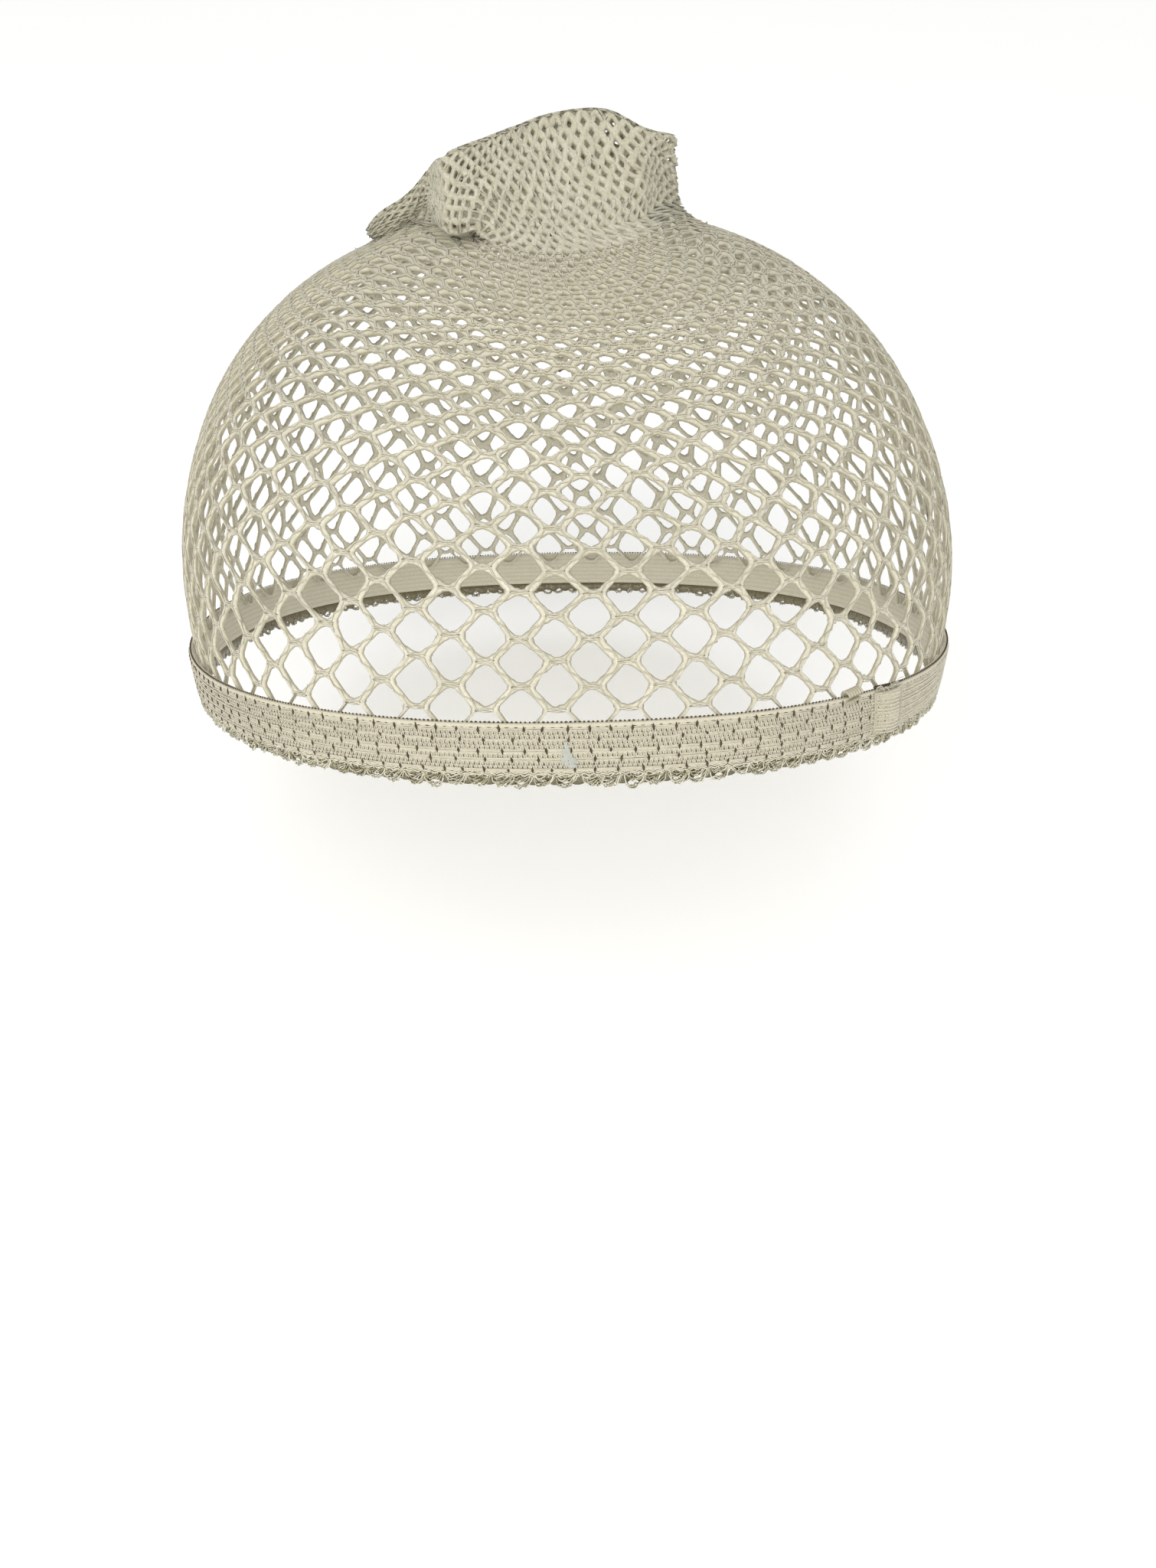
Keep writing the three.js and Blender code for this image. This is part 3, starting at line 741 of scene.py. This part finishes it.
def make_band_face(material):
    """The ground of the elastic, which the stitches stand on: fine lengthwise ribs and a soft edge."""
    outer = np.concatenate([[0.1], np.linspace(0.35, BAND_WIDTH - 0.25, 24), [BAND_WIDTH - 0.05]])
    inner = np.linspace(BAND_WIDTH - 0.1, 0.15, 16)
    drops = np.concatenate([outer, inner])
    face = BAND_FACE + 0.05 * np.cos(outer * 2 * math.pi / 0.65)
    face[[0, -1]] = 0.5
    back = 0.06 + 0.05 * np.cos(np.arange(len(inner)) * math.pi)
    outs = np.concatenate([face, back])
    shares = np.arange(FACE_COLUMNS) / FACE_COLUMNS
    waves = noise(0.02, FACE_COLUMNS, len(drops))
    points, faces = ribbon(shares, drops[None], outs[None] + waves, True)
    inside = np.where(np.arange(len(drops)) < len(outer), 0.2, 0.7 * (np.arange(len(drops)) % 2))
    tone = inside + 0.3 * rng.random(points.shape[:2])
    depth = np.full(points.shape[:2], 0.3)
    add_strip("band_face", points, faces, tone, depth, material, "elastic", "elastic_band")


def shows_front(share):
    """Past the join the elastic lies with its smooth side out, for a stretch."""
    return (share < share_at(JOIN_ANGLE) - 0.009) | (share > SMOOTH_END)


def make_band_stitches(material, painted_shade_material):
    """Rows of small stitches, which lean one way and the other, with a dark eye in each pair: painted shade
    in the hole.
    """
    stitches, eyes = Yarns(), Yarns()
    column = np.arange(STITCH_COLUMNS)
    side = np.where(column % 2 == 0, 1, -1)
    for row, drop in enumerate(STITCH_DROPS):
        share = (column + 0.5 * (row % 2)) / STITCH_COLUMNS
        drops = drop + noise(0.04, len(column))
        size = 1 + noise(0.1, len(column), 1)
        tone = 0.3 + 0.7 * rng.random(len(column))
        sew(stitches, share, drops, 0.95, 0.9, 0.42 * side[:, None], (0.4 * size, 0.15, 0.18), tone)

        # Dark grains in the eyes: painted shade.
        share = (column[::2] + 0.5 * (row % 2) + 1.5) / STITCH_COLUMNS
        share = share[shows_front(share)]
        size = np.clip(0.15 + noise(0.03, len(share), 1), 0.05, 0.22)
        drops = drop + 0.1 + noise(0.03, len(share))
        sew(eyes, share, drops, 1.02, 1, 0.25, (1.5 * size, 0.62 * size, 0.12), rng.random(len(share)))
    stitches.mesh("band_stitches", material, "elastic", "elastic_band")
    eyes.mesh("band_eye_shade", painted_shade_material, "elastic", "elastic_band")


def make_band_floats(material, painted_shade_material):
    """Smooth floats run along the band between the ticks: small dark grains of painted shade in the gaps
    where it is drawn together.
    """
    floats, ticks = Yarns(), Yarns()
    for row in TICK_ROWS:
        count = round(RIM_LENGTH / row.pitch)
        shares = (np.arange(count) + row.phase + noise(0.06, count)) / count
        shown = shares[shows_front(shares)]
        drops = row.drop + noise(0.06, len(shown))
        lean = 0.06 + noise(0.09, len(shown), 1)
        tall = 1.3 * row.tall * (1 + noise(0.15, len(shown), 1))
        sew(ticks, shown, drops, BAND_FACE + 0.1, 1, lean, (tall, TICK_WIDTH, 0.18), rng.random(len(shown)))
        gap = TICK_WIDTH * 1.1 / RIM_LENGTH
        after = np.roll(shares, -1)
        after[-1] += 1
        t = np.array([0, 0.1, 0.5, 0.9, 1])
        for drop in row.floats:
            share = (shares + gap)[:, None] * (1 - t) + (after - gap)[:, None] * t
            bow = 0.04 * np.sin(math.pi * t)
            points, normals, _ = on_band(share, drop + noise(0.04, count, 1), 0.88 + bow)
            radius = np.array([0.1, 0.17, 0.19, 0.17, 0.1])
            floats.add(points, normals, radius, 3, False, 0.1 + 0.5 * rng.random(count))
    floats.mesh("band_floats", material, "elastic", "elastic_band")
    ticks.mesh("band_tick_shade", painted_shade_material, "elastic", "elastic_band")


def make_band_edges(material, painted_shade_material):
    """The rolled edge with dark holes above it, and two threads at the foot. The holes are dark grains of
    painted shade.
    """
    count = round(RIM_LENGTH / ROLL_PITCH)
    shares = np.arange(count) / count
    roll = Yarns()
    points, normals, _ = on_band(shares[None], ROLL_DROP, 0.7)
    radius = ROLL_RADIUS * (1 + 0.05 * np.where(np.arange(count) % 2 == 0, 1, -1))
    roll.add(points, normals, radius[None], 5, True, 0.15)
    for drop in (BAND_WIDTH - 0.1, BAND_WIDTH + 0.25):
        swing = 0.16 * np.where(np.arange(count) % 2 == 0, 1, -1) + noise(0.05, count)
        points, normals, _ = on_band(shares[None], drop + swing[None], 0.7)
        roll.add(points, normals, 0.19, 4, True, 0.95)
    roll.mesh("band_edges", material, "elastic", "elastic_band")
    holes = Yarns()
    size = 1 + noise(0.2, count, 1)
    # Over the band's top edge: a painted shadow line.
    sew(holes, shares, -0.02, 0.62, 0, 1, (0.27 * size, 0.18, 0.18), rng.random(count))
    size, shares = size[::2], shares[::2]
    tone = 0.5 + 0.5 * rng.random(len(shares))
    # Below the roll: painted shade in the holes.
    sew(holes, shares, ROLL_DROP + 0.42, 0.9, 0, 1, (0.4 * size, 0.08, 0.1), tone)
    holes.mesh("band_top_painted_shade", painted_shade_material, "elastic", "elastic_band")


# The looped edging, sizes as in the part's source
LOOP_DROP = 2.4
LOOP_PITCH = 3.4
LOOP_TOP = BAND_WIDTH + CLEARANCE
LOOP_OUT = 0.55
PLY_RADIUS = 0.17
PLY_SPREAD = 0.28
PLY_STRAY = 0.1
Bow = namedtuple("Bow", "half deep plies steps turns")
BOWS = (Bow(0.54, 1.0, 3, 10, 1.6), Bow(0.44, 0.68, 3, 8, 1.4), Bow(0.5, 0.36, 2, 8, 1.2))
Knot = namedtuple("Knot", "lean at drop")
KNOTS = (Knot(-0.5, -0.5, 0.25), Knot(0.5, -0.42, 0.2), Knot(0.2, -0.1, 0.1), Knot(-0.3, 0.2, 0.15))


def make_loops(material):
    """Each scallop is a hanging bow of twisted threads, with a smaller bow inside it."""
    yarns = Yarns()
    count = round(RIM_LENGTH / LOOP_PITCH)
    places = np.arange(count) + noise(0.07, count)
    for bow in BOWS:
        t = np.linspace(-1, 1, bow.steps)
        depth = LOOP_DROP * bow.deep * (1 + noise(0.1, count, 1)) - PLY_RADIUS - PLY_SPREAD
        turn = 2 * math.pi * (bow.turns * (t + 1) / 2 + rng.random((count, 1)))
        lopsided = noise(0.5, count, 1)
        for ply in range(bow.plies):
            angle = turn + 2 * math.pi * ply / bow.plies
            stray = noise(PLY_STRAY, 2, count, bow.steps)
            share = (places[:, None] + bow.half * t + stray[0] / LOOP_PITCH) / count
            lean = 0.25 * lopsided * (1 - t * t)
            hang = (1 - np.abs(np.clip(t + lean, -1, 1)) ** 2.8) ** 0.8
            drop = LOOP_TOP + depth * hang + PLY_SPREAD * np.cos(angle) + stray[1]
            points, normals, _ = on_band(share, drop, LOOP_OUT + PLY_SPREAD * np.sin(angle))
            radius = PLY_RADIUS * (1 + noise(0.15, count, bow.steps))
            yarns.add(points, normals, radius, 3, False, rng.random(count))
    yarns.mesh("picot_loops", material, "loop_thread", "picot_edge")


def make_loop_shade_sheet(material):
    """A dark sheet inside the scallops, painted shade which shows between the glossy threads."""
    columns = 8 * round(RIM_LENGTH / LOOP_PITCH)
    t = np.arange(columns) / 8 % 1 * 2 - 1
    low = LOOP_TOP + LOOP_DROP * (0.3 + 0.5 * (1 - np.abs(t) ** 2.5))
    drops = np.stack([np.full(columns, BAND_WIDTH), low, low, np.full(columns, BAND_WIDTH)], 1)
    outs = np.array([0.55, 0.5, 0.2, 0.2])
    points, faces = ribbon(np.arange(columns) / columns, drops, outs[None] + 0 * drops, True)
    depth = 0.75 + 0.25 * rng.random(drops.shape)
    add_strip("picot_painted_shade", points, faces, 0 * drops, depth, material, "loop_thread", "picot_edge")


def make_loop_knots(material):
    """Small knots of the same thread where each scallop is caught up to the band."""
    count = round(RIM_LENGTH / LOOP_PITCH)
    yarns = Yarns()
    for knot in KNOTS:
        share = (np.arange(count) + knot.at + noise(0.05, count)) / count
        sizes = (0.55, 0.15, 0.22)
        drop = LOOP_TOP + knot.drop
        sew(yarns, share, drop, LOOP_OUT + 0.25, 1, 2 * knot.lean, sizes, rng.random(count))
    yarns.mesh("picot_knots", material, "loop_thread", "picot_edge")


# The lapped join and the curled end, as in the part's source. The curl is drawn smaller and nearer the
# front, where it shows
JOIN_ANGLE = 0.63
JOIN_LENGTH = 9.0
JOIN_THICKNESS = 0.9
JOIN_INSET = 0.5
JOIN_OUT = BAND_THICKNESS + CLEARANCE
TAIL_ANGLE = 0.56
TAIL_SPARE = 0.2
TAIL_RADIUS = 1.9
TAIL_WALL = 0.8
TAIL_LENGTH = 4.5
TAIL_TURN = 1.5 * math.pi
TAIL_DRAWN_IN = 0.66
TAIL_SHIFT = (-3.1, -1.9, -1.4)
FUZZ_THREADS = 14

# Places of the fleck and the lint: millimetres along the band from the front, and drops. The lint's are
# a column and row of the net's surface
FLECK_FIRST, FLECK_LAST = -4.3, -1.4
FLECK_TOP, FLECK_FOOT = (5.6, 3.0, 3.1, 5.3, 6.0, 6.6), (6.6, 7.2, 7.5, 7.4, 7.3, 6.9)
LINT_COLUMN = 0.22
LINT_ROW = 9.95


def share_at(angle):
    return np.interp(angle, RIM_ANGLES, RIM_LENGTHS) / RIM_LENGTH


def join_rise(t):
    """The ply's underside and its height at a share of its length: it tapers to the band at both ends."""
    ends = smooth_step(np.minimum(t, 1 - t) / 0.4)
    return JOIN_OUT - 0.4 * (1 - ends), (JOIN_THICKNESS - 0.19) * ends


def make_join(material, painted_shade_material):
    """The upper ply of the lap, ribbed lengthwise and rounded at its edges, with its bar of stitches."""
    half = JOIN_LENGTH / 2 / HEAD_HALF_DEPTH
    first, last = share_at(JOIN_ANGLE - half), share_at(JOIN_ANGLE + half)
    columns = 40
    t = np.linspace(0, 1, columns)
    shares = first + (last - first) * t
    outer = np.linspace(JOIN_INSET, BAND_WIDTH - JOIN_INSET, 26)
    inner = outer[::-1]
    ribs = 0.07 * np.cos(outer * 2 * math.pi / 0.74)
    foot, tall = (side[:, None] for side in join_rise(t))
    edge = np.minimum(1, np.minimum(outer - JOIN_INSET, BAND_WIDTH - JOIN_INSET - outer) * 2.2 + 0.25)
    outs = np.concatenate([foot + 0.12 + edge * (ribs + tall), foot + np.zeros((columns, len(inner)))], 1)
    outs[:, : len(outer)] += noise(0.04, columns, len(outer))
    drops = np.broadcast_to(np.concatenate([outer, inner]), outs.shape)
    points, faces = ribbon(shares, drops, outs, False)
    # Painted shade, darker at the ply's near end.
    shade = 0.4 + 0.2 * np.exp(-((t / 0.07) ** 2))[:, None] + 0 * outs
    tone = 0.4 * rng.random(outs.shape)
    add_strip("join_ply", points, faces, tone, shade, material, "elastic", "band_join")

    drops = np.arange(JOIN_INSET + 0.5, BAND_WIDTH - JOIN_INSET, 0.62)
    rows, count = np.meshgrid(drops, np.arange(3, columns - 3))
    t = (count + 0.5 * rng.random(count.shape)).ravel() / columns
    side = np.where(count.ravel() % 2 == 0, 1, -1)[:, None]
    shares, face = first + (last - first) * t, 0.14 + sum(join_rise(t))
    cover = Yarns()
    sew(cover, shares, rows.ravel(), face, 0.35 * side, 1, (0.42, 0.2, 0.14), rng.random(len(t)))
    cover.mesh("join_cover", material, "elastic", "band_join")

    bar, gaps = Yarns(), Yarns()
    drops = np.arange(JOIN_INSET + 0.3, BAND_WIDTH - JOIN_INSET, 0.9)
    for at in (0.1, 0.24):
        share = first + (last - first) * (at + noise(0.012, len(drops)))
        face = 0.1 + sum(join_rise(at))
        sew(bar, share, drops, face, 1, 0.35, (0.34, 0.12, 0.16), 0.3 + 0.4 * rng.random(len(drops)))
        # Dark grains in the gaps beside the bar: painted shade.
        share = share + 0.1 / RIM_LENGTH
        sew(gaps, share, drops + 0.45, face, 1, 0.35, (0.3, 0.12, 0.14), rng.random(len(drops)))
    bar.mesh("join_stitches", material, "elastic", "band_join")
    gaps.mesh("join_gap_shade", painted_shade_material, "elastic", "band_join")


def make_loose_threads(material, painted_shade_material):
    """Fuzz at the join, and the dark slot over the band's top edge: a painted shadow where the lap stands
    off.
    """
    fuzz, slot = Yarns(), Yarns()
    steps = 7
    t = np.linspace(0, 1, steps)
    for _ in range(FUZZ_THREADS):
        start = share_at(JOIN_ANGLE) + rng.normal() * 0.0035 - 0.002
        turn = 2 * math.pi * rng.random() + 4 * t
        share = start + 1.1 * np.cos(turn) * t / RIM_LENGTH
        points, normals, _ = on_band(share, 0.2 - 1.4 * t * rng.random() + 0.4 * np.sin(turn), 1.2 + 0.7 * t)
        fuzz.add(points[None], normals[None], 0.07, 4, False, 1.0)
    fuzz.mesh("join_fuzz", material, "elastic", "band_join")
    # A dark tapered thread: the painted shadow in the slot.
    share = share_at(JOIN_ANGLE) + (-3.8 + 9 * t) / RIM_LENGTH
    points, normals, _ = on_band(share, -0.1 - 0.2 * (1 - t), 0.7)
    slot.add(points[None], normals[None], (0.26 * (1 - t) + 0.07)[None], 4, False, 0.5)
    slot.mesh("join_painted_shadow", painted_shade_material, "elastic", "band_join")


def make_fleck(material):
    """A pale fleck caught in the stitches at the front of the band."""
    steps = len(FLECK_TOP)
    shares = np.linspace(FLECK_FIRST, FLECK_LAST, steps) / RIM_LENGTH
    down = np.linspace(0, 1, 9)
    top, foot = np.array(FLECK_TOP)[:, None], np.array(FLECK_FOOT)[:, None]
    outer = top + (foot - top) * down + noise(0.12, steps, 9)
    swell = np.sin(np.linspace(0.3, math.pi - 0.3, steps))[:, None] * np.sin(math.pi * (0.1 + 0.8 * down))
    outs = np.concatenate([0.98 + 0.16 * swell, np.full((steps, 9), 0.9)], 1)
    points, faces = ribbon(shares, np.concatenate([outer, outer[:, ::-1]], 1), outs, False)
    tone, depth = rng.random(outs.shape), 0.4 * rng.random(outs.shape)
    add_strip("band_fleck", points, faces, tone, depth, material, "elastic", "elastic_band")


def make_lint(material):
    """A dark bit of lint caught in the net above the forehead."""
    t = np.linspace(0, 1, 6)
    share = (LINT_COLUMN + 0.12 * t) / CELLS_AROUND
    row = LINT_ROW + 0.14 * t**2
    points = surface.read(surface.points, share, row)
    normals = surface.read(surface.normals, share, row)
    yarns = Yarns()
    radius = np.array([0.1, 0.2, 0.22, 0.16, 0.1, 0.05])
    yarns.add((points + 0.75 * normals)[None], normals[None], radius[None], 4, False, 0.7)
    yarns.mesh("lint", material, "net_yarn", "net")


def make_tail(material):
    """The cut end of the elastic, curled over, with the knit's ribs across the curl."""
    turns, across = 22, 12
    angle = np.linspace(0, TAIL_TURN, turns)
    depth = np.linspace(-TAIL_LENGTH / 2, TAIL_LENGTH / 2, across)
    ribs = 0.1 * np.cos(np.arange(across) * math.pi)
    seat = NET_WALL + CLEARANCE + TAIL_RADIUS + TAIL_SPARE
    origin = rim_point(TAIL_ANGLE, -TAIL_RADIUS - CLEARANCE, seat)
    sine, cosine = math.sin(TAIL_ANGLE), math.cos(TAIL_ANGLE)
    right = np.array([sine * sine, -sine * cosine, -cosine])
    forward = np.array([-sine * cosine, cosine * cosine, -sine])
    along = np.array([cosine, sine, 0])
    outer = np.broadcast_to(TAIL_RADIUS - 0.1 + ribs, (turns, across))
    inner = np.broadcast_to(TAIL_RADIUS - TAIL_WALL, (turns, across))
    radius = np.concatenate([outer, inner], 1)
    deep = np.concatenate([depth, depth[::-1]])
    flat = right * np.cos(angle)[:, None, None] + forward * np.sin(angle)[:, None, None]
    points = origin + TAIL_DRAWN_IN * (radius[..., None] * flat + deep[:, None] * along)
    points += np.array(TAIL_SHIFT)
    faces = [face[:, [0, 3, 2, 1]] for face in strip_faces(turns, 2 * across, False)]
    # Painted shade: the raised ribs lighter, the sunken ribs darker, and the inside of the curl darkest.
    tone = np.broadcast_to(np.concatenate([0.5 + 3 * ribs, 0.1 + 0 * ribs]), radius.shape)
    depths = np.broadcast_to(np.concatenate([0.7 - 3 * ribs, 1 + 0 * ribs]), radius.shape)
    add_strip("tail_curl", points, faces, tone, depths, material, "elastic", "band_tail")


# The colours and grain of one thread. Deep is the colour that painted shade darkens it towards
Fibre = namedtuple("Fibre", "light middle deep roughness sheen grain bump specular", defaults=(0.3,))
FIBRES = {
    "net_yarn": Fibre((0.67, 0.64, 0.525), (0.45, 0.43, 0.325), (0.28, 0.245, 0.15), 0.9, 0.2, 0.0005, 1.0),
    "elastic": Fibre((0.72, 0.69, 0.575), (0.55, 0.515, 0.405), (0.34, 0.305, 0.21), 0.8, 0.15, 0.0003, 0.4),
    # Dark lint, and the painted shade in holes, eyes, gaps and the slot over the band's edge.
    "lint_and_painted_shade": Fibre((0.12, 0.08, 0.042), (0.07, 0.045, 0.023), (0.04, 0.025, 0.012), 0.9, 0.0, 0.0004, 0.3),
    "loop_thread": Fibre((0.82, 0.79, 0.64), (0.3, 0.27, 0.15), (0.1, 0.08, 0.03), 0.22, 0, 0.0004, 0.6, 0.9),
    "fleck": Fibre((0.4, 0.415, 0.37), (0.37, 0.385, 0.335), (0.3, 0.3, 0.24), 0.7, 0.0, 0.0006, 0.3),
}
STAIN_SIZE = 0.02


def fibre_material(name):
    """Spun thread: its tone from stitch to stitch, painted shade from its depth attribute, slow stains and
    fine fibres.
    """
    fibre = FIBRES[name]
    material = bpy.data.materials.new(name)
    material.use_nodes = True
    nodes, links = material.node_tree.nodes, material.node_tree.links
    shader = nodes["Principled BSDF"]
    shader.inputs["Roughness"].default_value = fibre.roughness
    shader.inputs["Sheen Weight"].default_value = fibre.sheen
    shader.inputs["Sheen Roughness"].default_value = 0.5
    shader.inputs["Specular IOR Level"].default_value = fibre.specular

    tone, depth = nodes.new("ShaderNodeAttribute"), nodes.new("ShaderNodeAttribute")
    tone.attribute_name, depth.attribute_name = "tone", "depth"
    places = nodes.new("ShaderNodeTexCoord")
    noises = []
    for size in (STAIN_SIZE, fibre.grain):
        noise = nodes.new("ShaderNodeTexNoise")
        noise.inputs["Scale"].default_value = 1 / size
        noise.inputs["Detail"].default_value = 3
        links.new(places.outputs["Object"], noise.inputs["Vector"])
        noises.append(noise)
    stain, grain = noises

    def mixed(factor, first, second):
        mix = nodes.new("ShaderNodeMix")
        mix.data_type = "RGBA"
        for socket, value in ((mix.inputs[0], factor), (mix.inputs[6], first), (mix.inputs[7], second)):
            if isinstance(value, bpy.types.NodeSocket):
                links.new(value, socket)
            elif socket is mix.inputs[0]:
                socket.default_value = value
            else:
                socket.default_value = (*value, 1)
        return mix.outputs[2]

    def spread(value, low, high, least, most):
        ranged = nodes.new("ShaderNodeMapRange")
        for socket, number in zip(ranged.inputs[1:5], (low, high, least, most)):
            socket.default_value = number
        links.new(value, ranged.inputs[0])
        return ranged.outputs[0]

    colour = mixed(tone.outputs["Fac"], fibre.middle, fibre.light)
    # The depth attribute is painted shade: it darkens towards the deep colour, and past 1 towards the dark
    # shade colour.
    colour = mixed(spread(depth.outputs["Fac"], 0.15, 0.85, 0, 1), colour, fibre.deep)
    colour = mixed(spread(depth.outputs["Fac"], 1, 1.4, 0, 0.6), colour, FIBRES["lint_and_painted_shade"].light)
    stained = mixed(spread(stain.outputs["Fac"], 0.35, 0.65, 0, 0.22), colour, fibre.middle)
    worn = mixed(spread(grain.outputs["Fac"], 0.3, 0.65, 0.35, 0), stained, fibre.deep)
    links.new(worn, shader.inputs["Base Color"])
    bump = nodes.new("ShaderNodeBump")
    bump.inputs["Strength"].default_value = fibre.bump
    bump.inputs["Distance"].default_value = fibre.grain / 2
    links.new(grain.outputs["Fac"], bump.inputs["Height"])
    links.new(bump.outputs["Normal"], shader.inputs["Normal"])
    return material


# The camera, as the photograph was taken: metres and radians in the row frame
CAMERA_PLACE = (-0.01157, -0.28196, 0.1834)
CAMERA_PITCH = 0.688
CAMERA_YAW = 0.041
FOCAL_PIXELS = 2000
FRAME_WIDTH, FRAME_HEIGHT = 1510, 2048
OPTICAL_AXIS_X = 738.3
SENSOR_WIDTH = 36.0


def make_camera():
    data = bpy.data.cameras.new("camera")
    camera = linked("camera", data)
    data.sensor_width = SENSOR_WIDTH
    data.lens = SENSOR_WIDTH * FOCAL_PIXELS / FRAME_HEIGHT
    data.shift_x = (FRAME_WIDTH / 2 - OPTICAL_AXIS_X) / FRAME_HEIGHT
    data.clip_start = 0.01
    data.clip_end = 20
    camera.location = CAMERA_PLACE
    camera.rotation_euler = (math.pi / 2 - CAMERA_PITCH, 0, -CAMERA_YAW)
    bpy.context.scene.camera = camera


FLOOR_DROP = 0.012


def make_floor():
    material = bpy.data.materials.new("floor")
    material.use_nodes = True
    shader = material.node_tree.nodes["Principled BSDF"]
    shader.inputs["Base Color"].default_value = (0.97, 0.97, 0.96, 1)
    shader.inputs["Roughness"].default_value = 0.9
    bpy.ops.mesh.primitive_plane_add(size=6, location=(0, 0, cad_box[0].z - FLOOR_DROP))
    floor = bpy.context.object
    floor.name = "floor"
    floor.data.materials.append(material)


# The soft light at the front left: metres and watts
KEY_PLACE = (-0.2, -0.8, 0.6)
KEY_TARGET = (0, 0, 0.02)
KEY_SIZE = 0.9
KEY_POWER = 6.5
KEY_COLOUR = (1, 0.99, 0.97)
WORLD_STRENGTH = 0.95


def make_studio():
    world = bpy.data.worlds.new("studio")
    bpy.context.scene.world = world
    world.use_nodes = True
    background = world.node_tree.nodes["Background"]
    background.inputs["Color"].default_value = (1, 1, 1, 1)
    background.inputs["Strength"].default_value = WORLD_STRENGTH
    data = bpy.data.lights.new("key", "AREA")
    data.size = KEY_SIZE
    data.energy = KEY_POWER
    data.color = KEY_COLOUR
    light = linked("key", data)
    light.location = KEY_PLACE
    aim = Vector(KEY_TARGET) - Vector(KEY_PLACE)
    light.rotation_euler = aim.to_track_quat("-Z", "Y").to_euler()
    bpy.context.scene.view_settings.view_transform = "Standard"


make_camera()
make_studio()
make_floor()
yarn, elastic, dark, loop_thread, pale = (fibre_material(name) for name in FIBRES)
make_net(yarn)
make_lint(dark)
make_band_face(elastic)
make_band_stitches(elastic, dark)
make_band_floats(elastic, dark)
make_band_edges(elastic, dark)
make_fleck(pale)
make_loop_shade_sheet(loop_thread)
make_loops(loop_thread)
make_loop_knots(loop_thread)
make_join(elastic, dark)
make_loose_threads(elastic, dark)
make_tail(elastic)
